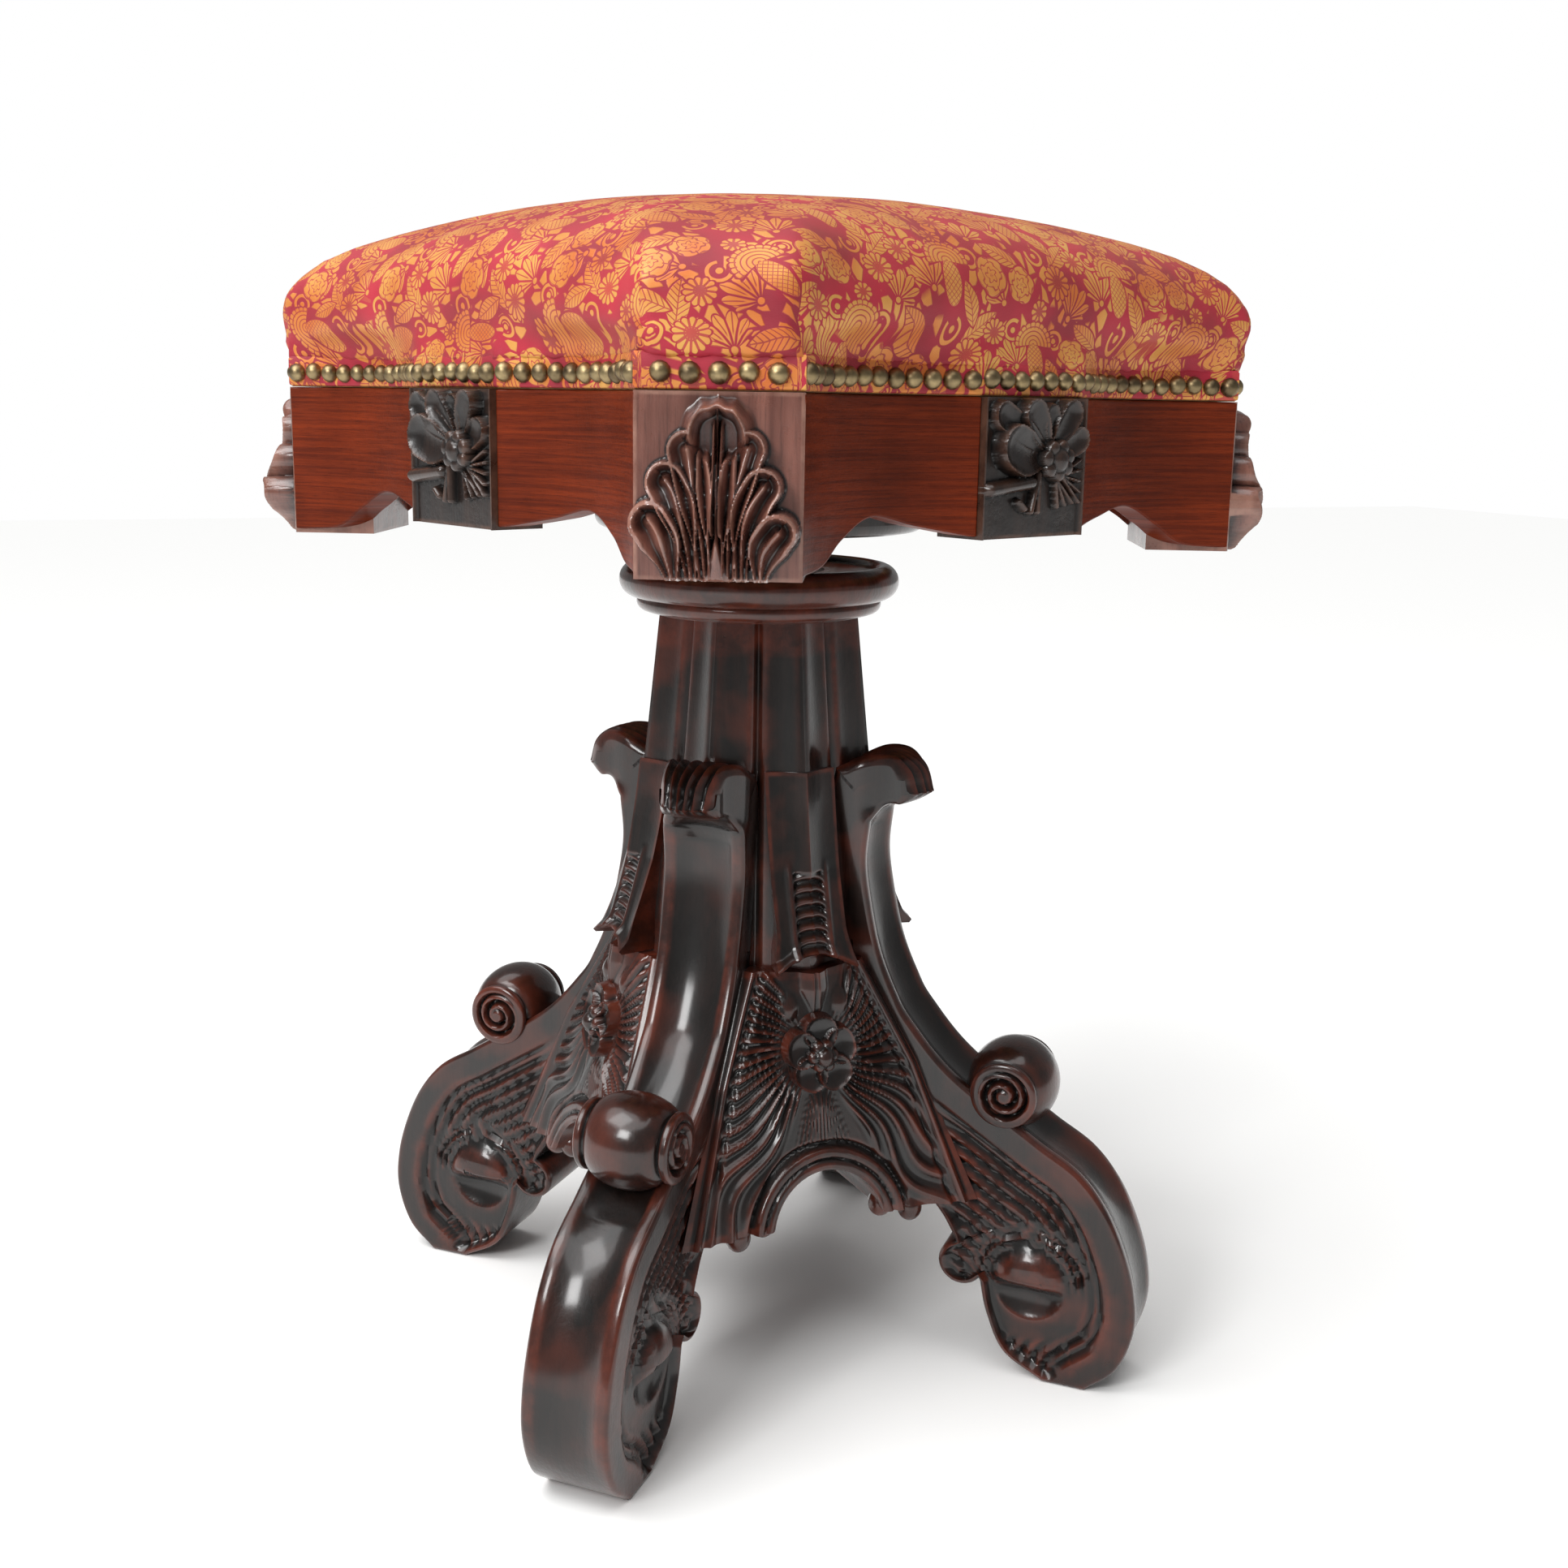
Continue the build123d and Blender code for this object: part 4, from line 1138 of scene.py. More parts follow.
    def carving(self, out: Array, up: Array) -> Array:
        """Height of the side's carving over its flat, which is 0 on the band along the outer edge.

        Inside the band the ground sinks. Round the eye of the scroll there is a dome, round above and scooped
        below, three ribs over it, and along the strap the ribs of a leaf that follow the outer edge.

        Args:
            out: outwards.
            up: height.

        Returns:
            Heights, negative inwards.
        """
        outer = np.vstack([curve(self.strap, 120), curve(self.foot, 140)])
        flat = np.stack([out.ravel(), up.ravel()], -1)
        band = np.sqrt(((flat[:, None] - outer[None]) ** 2).sum(-1).min(1)).reshape(out.shape)
        x, y = out - self.eye[0], up - self.eye[1]
        ring = np.hypot(x, y)
        above = smooth(y, -6.0, 4.0)
        sunk = -self.ground * smooth(band, 13.5, 18.0)
        dome = np.sqrt(np.clip(1 - (ring / self.eye_radius) ** 2, 0, 1))
        knob = self.dome * dome * above - self.scoop * (1 - above) * dome**1.5
        waves = np.cos((ring - 20.0) / self.rib_pitch * 2 * math.pi)
        ribs = self.ribs * waves * bump(ring, 24.0, 7.0) * smooth(y, -2.0, 6.0)
        veins = self.veins * np.cos(band / self.vein_pitch * 2 * math.pi) * smooth(ring, 26.0, 34.0)
        inside = smooth(band, 14.0, 18.0)
        foot = smooth(out, 96.0, 116.0)
        return foot * (sunk + inside * (knob + ribs + veins) - 0.8 * bump(band, 15.5, 2.5))

    def pair(self, edge: Array) -> tuple:
        """Pairs each point of the outline with the nearest point of the spine.

        Where the next point's partner is further along the spine, the point is repeated for every step between,
        so that the face closes on the whole spine from both sides.

        Args:
            edge: outline (n, 2), as (outwards, up).

        Returns:
            Rows of the outline, some of them repeated, and each one's point on the spine.
        """
        spine = curve(self.spine, 120)
        nearest = ((edge[:, None] - spine[None]) ** 2).sum(-1).argmin(1)
        leap = np.roll(nearest, -1) - nearest
        count = np.maximum(np.abs(leap), 1)
        rows = np.repeat(np.arange(len(edge)), count)
        step = np.arange(len(rows)) - np.repeat(np.cumsum(count) - count, count)
        return rows, spine[nearest[rows] + np.sign(leap)[rows] * step]

    def flank(self, edge: Array, partner: Array, side: int) -> Array:
        """Side face, from the rim's edge to the spine, as a grid (outline, inwards).

        Each point of the edge goes straight to its partner on the spine, and the carving's height is added
        sideways.

        Args:
            edge: the rim's edge (n, 2), as (outwards, up).
            partner: points on the spine (n, 2).
            side: -1 or 1.

        Returns:
            Array (outline, steps, 3).
        """
        share = np.linspace(0, 1, 26)[None, :, None]
        flat = edge[:, None] * (1 - share) + partner[:, None] * share
        height = self.carving(flat[..., 0], flat[..., 1]) * smooth(share[..., 0], 0.0, 0.06)
        wide = self.half_width * self.narrow(flat[..., 0], flat[..., 1])
        return np.stack([flat[..., 0], side * (wide + height), flat[..., 1]], -1)

    def build(self) -> None:
        """Builds the leg: the rim round its outline and the two side faces, which close along the spine."""
        rim = self.rim(*self.outline())
        rows, partner = self.pair(rim[:, 0][:, [0, 2]])
        rim = rim[rows]
        edge = rim[:, 0][:, [0, 2]]
        right = self.flank(edge, partner, -1)[:, :0:-1]
        left = self.flank(edge, partner, 1)[:, 1:]
        whole = np.hstack([right, rim, left])
        name = self.corner.name.lower()
        world = place(whole[..., 0], whole[..., 1], whole[..., 2], self.corner.value)
        shell = sheet(world, close_rows=True)
        piece(f"strap_leg_{name}", [shell], ROSEWOOD, Body.BASE, (f"leg_{name}",))


@dataclass
class KneeScroll:
    """The barrel scroll on the bend of a leg, with a volute cut into each end."""

    corner: Corner
    centre: tuple = (132.0, 139.0)
    radius: float = 21.0
    waist: float = 13.8
    half_length: float = 22.0
    barrel: float = 17.0
    rim: float = 5.0
    flange: float = 1.6
    groove: float = 4.2

    def build(self) -> None:
        """Barrel: a profile turned about the scroll's own axis, then a volute cut into both ends.

        The radius over the length s is waist + (radius - waist) (1 - (s / barrel)^2)^0.6 up to the waist, and a
        low flange beyond it. On the end face the depth follows a spiral groove whose distance from the eye grows
        by the rim's width each turn.
        """
        s = np.concatenate([np.linspace(0, 17.2, 22), np.linspace(17.8, 21.0, 7), [21.6, self.half_length]])
        barrel = self.waist + (self.radius - self.waist) * np.clip(1 - (s / self.barrel) ** 2, 0, 1) ** 0.6
        flange = self.waist + self.flange * smooth(s, 17.4, 19.0)
        radius = np.where(s < 17.2, barrel, flange)
        radius[-2:] -= (0.5, 1.6)
        turn = np.linspace(0, 2 * math.pi, 96, endpoint=False)
        cap = np.linspace(1, 0, 22)[1:]
        sides = []
        for side in (-1, 1):
            wall = self.ring(radius[:, None], side * s[:, None], turn)
            ring = cap[:, None] * radius[-1]
            spiral = (ring - 3.0 - self.rim * ((turn + 0.6) % (2 * math.pi)) / (2 * math.pi)) / self.rim
            groove = bump(spiral % 1.0, 0.5, 0.42) * smooth(ring, 2.0, 4.5) * smooth(ring, 12.4, 10.5)
            face = self.half_length - self.groove * groove + 0.8 * (1 - cap[:, None] ** 2)
            sides.append(np.vstack([wall, self.ring(ring, side * face, turn)]))
        whole = np.vstack([sides[0][::-1], sides[1][1:]])
        name = self.corner.name.lower()
        world = place(whole[..., 0], whole[..., 1], whole[..., 2], self.corner.value)
        shell = sheet(world, close_columns=True)
        piece(f"scroll_{name}", [shell], ROSEWOOD, Body.BASE, (f"knee_scroll_{name}",))

    def ring(self, radius: Array, along: Array, turn: Array) -> Array:
        """Circles about the scroll's axis.

        Args:
            radius: distance from the axis.
            along: place along the axis.
            turn: angle about it, radians.

        Returns:
            Array (..., 3) of (outwards, sideways, up).
        """
        out = self.centre[0] + radius * np.cos(turn)
        up = self.centre[1] + radius * np.sin(turn)
        return np.stack([out, along + 0 * out, up], -1)


# ---------------------------------------------------------------- panels, flowers, lappets
def ball(centre: tuple, radii: tuple, angle: float, count: int = 28) -> Shell:
    """Ball of three radii, in rings of latitude: r sin(polar) cos(turn), r sin(polar) sin(turn), r cos(polar).

    Args:
        centre: (outwards, sideways, up).
        radii: along the same three ways.
        angle: the angle of outwards, degrees.
        count: steps round it.

    Returns:
        The shell.
    """
    polar = np.linspace(0, math.pi, count // 2 + 1)[:, None]
    turn = np.linspace(0, 2 * math.pi, count, endpoint=False)[None]
    out = centre[0] + radii[0] * np.sin(polar) * np.cos(turn)
    side = centre[1] + radii[1] * np.sin(polar) * np.sin(turn)
    up = centre[2] + radii[2] * np.cos(polar) + 0 * turn
    return sheet(place(out, side, up, angle), close_columns=True)


@dataclass
class Panel:
    """One carved panel between two legs, with the flower on it and the lappet that hangs over it."""

    side: Side
    levels: tuple = (85.0, 150.0, 196.0)
    middles: tuple = (89.0, 78.0, 70.0)
    alongs: tuple = (118.0, 90.0, 62.0)
    half_leg: float = 20.0
    arch_radius: float = 27.6
    arch_crown: float = 107.0
    inside: float = 24.0
    arch_share: float = 0.42
    overlap: float = 4.0
    ribs: int = 46
    rib_height: float = 2.6
    strip: float = 2.6
    arch_rim: float = 3.2
    flower_height: float = 160.0
    flower_radius: float = 18.5
    flower_depth: float = 6.0
    petals: int = 5
    petal_radii: tuple = (8.6, 9.0)
    petal_circle: float = 10.2
    lappet_line: tuple = (
        (58.5, 285.0), (61.5, 262.0), (66.0, 236.0), (70.5, 215.0), (74.0, 203.0), (76.3, 196.5),
    )
    lappet_half: float = 17.0
    rung_pitch: float = 5.6
    rung_top: float = 239.0
    lappet_back: float = 40.0
    # (outwards, sideways, up, radii) of the pendant knobs
    pendants: tuple = (
        (84.0, 29.5, 85.0, (6.0, 5.6, 6.4)), (86.5, 36.5, 87.5, (5.0, 4.5, 4.0)),
        (88.0, 43.0, 82.5, (6.0, 5.8, 6.8)),
    )

    def plan(self, across: Array, up: Array) -> Array:
        """Uncarved face: the distance outwards goes from the middle's to the leg's by (across / edge)^1.3.

        Args:
            across: sideways from the panel's middle.
            up: height.

        Returns:
            Distances outwards.
        """
        middle = np.interp(up, self.levels, self.middles)
        along = np.interp(up, self.levels, self.alongs)
        edge_out = (along + self.half_leg) / math.sqrt(2)
        edge_side = (along - self.half_leg) / math.sqrt(2)
        return middle + (edge_out - middle) * np.clip(np.abs(across) / edge_side, 0, 1.2) ** 1.3

    def carving(self, across: Array, up: Array) -> Array:
        """Height of the carving: ribs that spread from the flower, a smooth leaf over the arch, the arch's rim.

        The ribs are a power of the cosine of the angle round the flower; they grow with the distance from it and
        give way to a lobed leaf below it and to a small pointed drop above it. The rim is a flat band along the
        arch with a line cut in it, and a raised strip runs along each leg.

        Args:
            across: sideways from the panel's middle.
            up: height.

        Returns:
            Heights in millimetres.
        """
        rise = up - self.flower_height
        far = np.hypot(across, rise)
        turn = np.arctan2(rise, across)
        wave = 0.5 + 0.5 * np.cos(self.ribs * turn + 3.0 * np.sin(far / 9.0))
        leaf = smooth(np.abs(np.degrees(turn) + 90), 34, 24)
        top = smooth(np.abs(np.degrees(turn) - 90), 34, 22)
        ribs = self.rib_height * wave**1.4 * smooth(far, 15, 26) * (1 - leaf) * (1 - top)
        lobes = leaf * smooth(far, 16, 24) * (1.6 - 2.2 * np.abs(np.sin(3.5 * (turn + math.pi / 2))) ** 2)
        lobes = lobes + 0.35 * leaf * np.cos(120 * turn)
        edge_side = (np.interp(up, self.levels, self.alongs) - self.half_leg) / math.sqrt(2)
        near = edge_side - np.abs(across)
        strip = self.strip * bump(near, 3.2, 3.0) - 1.6 * bump(near, 8.0, 2.2)
        drop = 3.6 * np.clip(1 - np.abs(across) / 7.0 - np.clip(188 - up, 0, 99) / 15.0, 0, 1) ** 0.6
        drop = drop - 1.6 * bump(across, 0, 1.6) * (drop > 0.6)
        curl_x = np.abs(across) - 13.5
        curl = 2.6 * np.cos(np.clip(np.hypot(curl_x, (up - 181) / 1.3) / 5.5, 0, 1) * math.pi / 2)
        rim_at = np.hypot(across, up - (self.arch_crown - self.arch_radius)) - self.arch_radius
        rim = self.arch_rim * smooth(rim_at, 11.0, 9.0) - 1.5 * bump(rim_at, 5.0, 1.5)
        rim = rim - 1.5 * smooth(rim_at, 1.6, 0.0)
        carved = np.maximum(np.maximum(ribs, lobes), np.maximum(drop, curl)) * smooth(rim_at, 9.5, 13.0)
        carved = carved - 1.8 * bump(rim_at, 12.0, 2.0)
        return carved * smooth(near, 5.0, 9.0) + strip + rim

    def panel(self) -> None:
        """Panel: a grid from the arch's edge up to the lappet, with its thickness and its pendant knobs."""
        share = np.linspace(-1, 1, 181)
        arch = np.clip(share / self.arch_share, -1, 1)
        foot = math.acos((self.levels[0] - self.arch_crown + self.arch_radius) / self.arch_radius)
        low_side = self.arch_radius * np.sin(arch * foot)
        low_up = self.arch_crown - self.arch_radius + self.arch_radius * np.cos(arch * foot)
        beyond = np.clip((np.abs(share) - self.arch_share) / (1 - self.arch_share), 0, 1) * np.sign(share)
        edge_low = (self.alongs[0] - self.half_leg) / math.sqrt(2) + self.overlap
        low_side = low_side + beyond * (edge_low - np.abs(low_side))
        edge_top = (self.alongs[-1] - self.half_leg) / math.sqrt(2) + self.overlap
        v = np.linspace(0, 1, 110)[:, None]
        across = (1 - v) * low_side + v * edge_top * share
        up = (1 - v) * low_up + v * self.levels[-1]
        out = self.plan(across, up) + self.carving(across, up)
        front = place(out, across, up, self.side.value)
        back = place(self.inside, np.clip(across, -self.inside, self.inside), up, self.side.value)
        knobs = [
            ball((reach, side * aside, height), radii, self.side.value)
            for side in (-1, 1)
            for reach, aside, height, radii in self.pendants
        ]
        name = self.side.name.lower()
        shells = [slab(front, back), *knobs]
        piece(f"carved_panel_{name}", shells, ROSEWOOD, Body.BASE, (f"panel_{name}",))

    def flower(self) -> None:
        """Flower: overlapping cupped petals round a cluster of buds, as a height over a disc.

        Each petal is an oval whose height rises towards its rim, and the highest petal wins; the buds are seven
        round caps. The disc's edge sinks into the panel.
        """
        ring = np.linspace(1, 0, 34)[:, None]
        turn = np.linspace(0, 2 * math.pi, 120, endpoint=False)[None]
        reach = self.flower_radius * (0.90 + 0.10 * np.abs(np.cos(self.petals * (turn - math.pi / 2) / 2)))
        across, rise = ring * reach * np.cos(turn), ring * reach * np.sin(turn)
        height = np.full(across.shape, 1.5)
        for k in range(self.petals):
            angle = math.radians(90 + 360 / self.petals * k)
            c, s = math.cos(angle), math.sin(angle)
            aside, above = across - self.petal_circle * c, rise - self.petal_circle * s
            x, y = aside * c + above * s, above * c - aside * s
            oval = np.hypot(x / self.petal_radii[0], y / self.petal_radii[1])
            cup = (3.6 + 0.5 * (k % 2) + 4.2 * np.clip(oval, 0, 1) ** 2.4) * smooth(oval, 1.03, 0.90)
            height = np.maximum(height, cup)
        buds = [(0.0, 0.0, 4.6, 12.2)] + [
            (4.6 * math.cos(a), 4.6 * math.sin(a), 3.0, 9.6)
            for a in np.linspace(0, 2 * math.pi, 6, endpoint=False)
        ]
        for x, y, size, top in buds:
            cap = np.sqrt(np.clip(1 - ((across - x) ** 2 + (rise - y) ** 2) / size**2, 0, 1))
            height = np.maximum(height, (top - size) * (cap > 0) + size * cap)
        up = self.flower_height + rise
        base = self.plan(across, up) - 1.0
        out = base + height * smooth(ring, 1.0, 0.94) - 3.0 * smooth(ring, 0.96, 1.0)
        back = self.plan(0 * across, up) - self.flower_depth
        name = self.side.name.lower()
        front = place(out, across, up, self.side.value)
        rear = place(back, across * 0.8, self.flower_height + 0.8 * rise, self.side.value)
        whole = np.vstack([front[::-1], rear])
        shell = sheet(whole, close_columns=True)
        piece(f"flower_{name}_carved", [shell], ROSEWOOD, Body.BASE, (f"flower_{name}",))

    def lappet(self) -> None:
        """Lappet: the shaft's lobe carried down into a flared tongue, with a ladder of rungs and a curled lip.

        Outwards it is the middle line, less a flank that falls away from the arris, more a rolled edge, less the
        ladder's bed, plus the rungs; the lower edge is a shallow arch and swells into a lip.
        """
        line = curve(self.lappet_line, 200)[::-1]
        t = np.linspace(-1, 1, 61)[None]
        v = np.linspace(0, 1, 130)[:, None]
        low = 204.5 - 7.5 * np.abs(t) ** 1.6
        up = low + (self.lappet_line[0][1] - low) * v
        half = self.lappet_half * (1.0 + 0.16 * smooth(up, 216, 198))
        across = t * half
        middle = np.interp(up, line[:, 1], line[:, 0])
        fall = np.interp(up, (196.0, 215.0, 240.0, 285.0), (0.10, 0.22, 0.40, 0.50))
        flank = fall * np.abs(across) + 1.2 * np.sin(math.pi * np.clip(np.abs(across) / 17, 0, 1))
        bed = smooth(np.abs(across), 7.6, 6.0) * smooth(up, self.rung_top + 1.5, self.rung_top)
        drop = (up - self.rung_top + 1.5 * (across / 6.0) ** 2) / self.rung_pitch
        rung = 0.5 + 0.5 * np.cos(drop * 2 * math.pi)
        ladder = bed * (3.0 - 2.6 * rung**0.8)
        border = 1.2 * bump(np.abs(across), 9.0, 2.2) * smooth(up, self.rung_top + 8, self.rung_top - 2)
        lip = 2.6 * smooth(up - low, 7.0, 0.5) - 2.2 * smooth(up - low, 1.6, 0.0)
        out = middle - flank - ladder + border + lip
        back = self.lappet_back + 0 * out
        name = self.side.name.lower()
        front = place(out, across, up, self.side.value)
        rear = place(back, across * 0.6, up, self.side.value)
        piece(f"lappet_{name}_carved", [slab(front, rear)], ROSEWOOD, Body.BASE, (f"lappet_{name}",))

    def build(self) -> None:
        """Builds the panel, its flower and its lappet."""
        self.panel()
        self.flower()
        self.lappet()


# ---------------------------------------------------------------- seat frieze
@dataclass
class Frieze:
    """The seat's frieze: carved corner and middle blocks and the scooped aprons between them."""

    top: float = 450.0
    corner_reach: float = 208.9
    corner_width: float = 59.0
    corner_depth: float = 36.0
    corner_bottom: float = 385.5
    middle_reach: float = 162.5
    middle_width: float = 60.0
    middle_depth: float = 22.0
    middle_bottom: float = 396.0
    scoop: float = 14.0
    setback: float = 1.0
    thickness: float = 13.0
    # (height over the block's foot, how far the leaf stands out)
    swell: tuple = (
        (0.0, 4.5), (3.0, 8.0), (20.5, 16.6), (33.0, 11.4), (45.5, 8.4), (55.5, 10.8), (60.5, 7.0), (62.5, 1.0),
        (64.5, 0.0),
    )
    # (share of the way from the middle block to the corner, height over the corner's foot)
    edge: tuple = ((0.0, 11.5), (0.25, 16.0), (0.475, 20.0), (0.66, 12.0), (0.8, 3.5), (1.0, 1.5))
    posy_heart: tuple = (8.0, 428.0)
    # (bend, tip, half width, height of the rim) of each petal, all from the heart
    posy_petals: tuple = (
        ((-4.0, 426.0), (-15.0, 431.0), 9.6, 8.0), ((0.0, 432.0), (-21.0, 443.0), 6.0, 5.0),
        ((2.0, 434.0), (-5.0, 443.5), 6.6, 7.0), ((7.0, 436.0), (6.0, 444.0), 4.2, 5.5),
        ((12.0, 436.0), (17.0, 444.0), 6.0, 7.0), ((16.0, 430.0), (23.5, 434.0), 5.6, 5.5),
    )
    # (root, bend, tip, half width, level) of each lobe of the acanthus leaf
    lobes: tuple = (
        ((0.0, 2.0), (0.0, 25.0), (0.0, 42.0), 7.5, 0.62),
        ((4.0, 2.0), (4.5, 31.0), (10.2, 45.0), 7.0, 0.70), ((-4.4, 2.0), (-5.5, 29.0), (-10.6, 44.5), 7.2, 0.70),
        ((8.5, 1.0), (8.5, 22.0), (15.6, 32.5), 7.2, 0.74), ((-9.0, 1.0), (-9.5, 23.0), (-17.6, 34.0), 7.4, 0.74),
        ((15.0, -2.0), (15.0, 10.0), (21.0, 17.5), 7.4, 0.80),
        ((-15.5, -2.0), (-16.0, 12.0), (-22.5, 20.5), 8.0, 0.80),
    )

    def ends(self, inset: float = 0.0) -> tuple:
        """Where a scoop meets the canted corner, where it is deepest, and where it meets the middle block.

        Args:
            inset: how far inside the frieze's face.

        Returns:
            The three points as (outwards, along the side from its middle).
        """
        out_far = (self.corner_reach + self.corner_width / 2) / math.sqrt(2) - 1.05 * inset
        along_far = (self.corner_reach - self.corner_width / 2) / math.sqrt(2) - 0.364 * inset
        out_near, along_near = self.middle_reach - self.setback - inset, self.middle_width / 2
        deepest = (out_far + out_near) / 2 - self.scoop, (along_far + along_near) / 2
        return (out_far, along_far), deepest, (out_near, along_near)

    def runs(self, inset: float, count: int) -> list:
        """Stretches of the frieze's plan, in order round it: scoop, flat, scoop, corner, for each side.

        Args:
            inset: how far inside the frieze's face.
            count: points in each stretch.

        Returns:
            For each stretch its points (count, 2) and whether it is a canted corner.
        """
        (out_far, along_far), (out_mid, along_mid), (out_near, along_near) = self.ends(inset)
        found = []
        for k in range(4):
            angle = math.radians(SEAT_TURN + 90 * k)
            axes = np.array([[math.cos(angle), math.sin(angle)], [-math.sin(angle), math.cos(angle)]])
            quarter = np.array([[0.0, 1.0], [-1.0, 0.0]])
            falling = arc((out_far, -along_far), (out_mid, -along_mid), (out_near, -along_near), count)
            level = np.linspace((out_near, -along_near), (out_near, along_near), count)
            rising = arc((out_near, along_near), (out_mid, along_mid), (out_far, along_far), count)
            cant = np.linspace((out_far, along_far), np.array([out_far, -along_far]) @ quarter, count)
            found += [(run @ axes, False) for run in (falling, level, rising)] + [(cant @ axes, True)]
        return found

    def aprons(self) -> None:
        """Aprons: boards bent to the scoop, with a wavy lower edge, and grain along their length.

        Each board's flat map starts elsewhere, so that no two show the same grain.
        """
        (out_far, along_far), (out_mid, along_mid), (out_near, along_near) = self.ends()
        wave = curve(self.edge, 200)
        for side in Side:
            for hand, sign in (("left", -1), ("right", 1)):
                ends = ((out_near, sign * along_near), (out_mid, sign * along_mid), (out_far, sign * along_far))
                line = arc(*ends, 64)
                share = (np.abs(line[:, 1]) - along_near) / (along_far - along_near)
                low = self.corner_bottom + np.interp(share, wave[:, 0], wave[:, 1])
                v = np.linspace(0, 1, 12)[:, None]
                up = low * (1 - v) + (self.top - 0.3) * v
                run = np.concatenate([[0], np.cumsum(np.linalg.norm(np.diff(line, axis=0), axis=1))])
                start = side.value * 3.0 + sign * 150.0
                flat = np.stack([run * sign + start + 0 * up, up], -1) * MM
                front = place(line[:, 0], line[:, 1], up, side.value + SEAT_TURN)
                back = place(line[:, 0] - self.thickness, line[:, 1], up, side.value + SEAT_TURN)
                name = f"{side.name.lower()}_{hand}"
                shell = slab(front, back, flat)
                slot, nodes = "mahogany", (f"apron_{name}",)
                piece(f"scooped_apron_{name}", [shell], MAHOGANY, Body.SEAT, nodes, sharp=40.0, bevel=0.7)

    def lobe(self, across: Array, rise: Array, root: tuple, bend: tuple, tip: tuple, half: float) -> tuple:
        """One lobe of the leaf, that widens along a bent line from its root and ends round.

        The line is the parabola through root and tip that leaves the root towards the bend.

        Args:
            across: sideways from the block's middle.
            rise: height over the block's foot.
            root: where the lobe starts, as (across, rise).
            bend: the parabola's control point.
            tip: centre of the round end.
            half: radius of the round end.

        Returns:
            Share of the way along, and signed distance from the line as a share of the half width there.
        """
        s = np.linspace(0, 1, 80)[:, None]
        a, b, c = (np.array(p, float) for p in (root, bend, tip))
        line = a * (1 - s) ** 2 + 2 * b * s * (1 - s) + c * s**2
        ahead = np.gradient(line, axis=0)
        flat = np.stack([across.ravel(), rise.ravel()], -1)
        nearest = ((flat[:, None] - line[None]) ** 2).sum(-1).argmin(1)
        off = flat - line[nearest]
        turn = ahead[nearest]
        hand = np.sign(turn[:, 0] * off[:, 1] - turn[:, 1] * off[:, 0])
        along = s[nearest, 0].reshape(across.shape)
        wide = half * (0.34 + 0.66 * smooth(along, 0.05, 0.75))
        return along, (hand * np.linalg.norm(off, axis=1)).reshape(across.shape) / wide

    def acanthus(self, across: Array, rise: Array) -> Array:
        """How far the leaf fills its envelope, from 0 on the ground to 1.

        Three lobes a side lie over each other like petals and a hooded one stands over the midrib; the highest
        wins. A lobe has a thick raised rim and two flutes that follow its bent line; the hood is scooped deep
        inside its rim; the midrib is double; a plain wedge stands at the foot.

        Args:
            across: sideways from the block's middle.
            rise: height over the block's foot.

        Returns:
            Shares of the envelope.
        """
        fill = np.full(across.shape, 0.02)
        for root, bend, tip, half, level in self.lobes:
            along, q = self.lobe(across, rise, root, bend, tip, half)
            q = q + 0.10 * np.sin(5.0 * along + root[0]) * (1 - np.clip(np.abs(q), 0, 1))
            inside = smooth(np.abs(q), 1.03, 0.88)
            lip = np.exp(-(((np.abs(q) - 0.86) / 0.20) ** 2)) * (0.05 + 0.17 * smooth(along, 0.55, 1.0))
            flutes = (0.5 - 0.5 * np.cos(2 * math.pi * q / 0.84)) * smooth(np.abs(q), 0.90, 0.74)
            cup = 0.12 * smooth(along, 0.6, 1.0) * (1 - np.clip(q, -1, 1) ** 2)
            body = level + 0.16 * smooth(along, 0.1, 0.9) - (0.26 + 0.12 * along) * flutes - cup + lip
            fill = np.maximum(fill, inside * body)
        oval = np.hypot(across / 10.8, (rise - 49.5) / (11.4 + 0.5 * np.cos(across * 1.1)))
        hood = np.exp(-(((oval - 0.88) / 0.19) ** 2)) * smooth(rise, 43.0, 50.0)
        deep = smooth(oval, 0.88, 0.66) * smooth(rise, 36.0, 46.0)
        fill = fill * (1 - deep) + 0.10 * deep
        fill = np.maximum(fill, hood)
        rib = bump(np.abs(across), 1.3, 1.3) * smooth(rise, 12.0, 18.0) * smooth(rise, 57.0, 50.0)
        fill = np.maximum(fill, (0.96 - 0.45 * smooth(rise, 38.0, 54.0)) * rib)
        wedge = np.sqrt(np.clip(1 - (np.abs(across) / np.clip(6.5 * (1 - rise / 17.0), 0.3, None)) ** 2, 0, 1))
        return np.clip(np.maximum(fill, 0.72 * wedge), 0.0, 1.0)

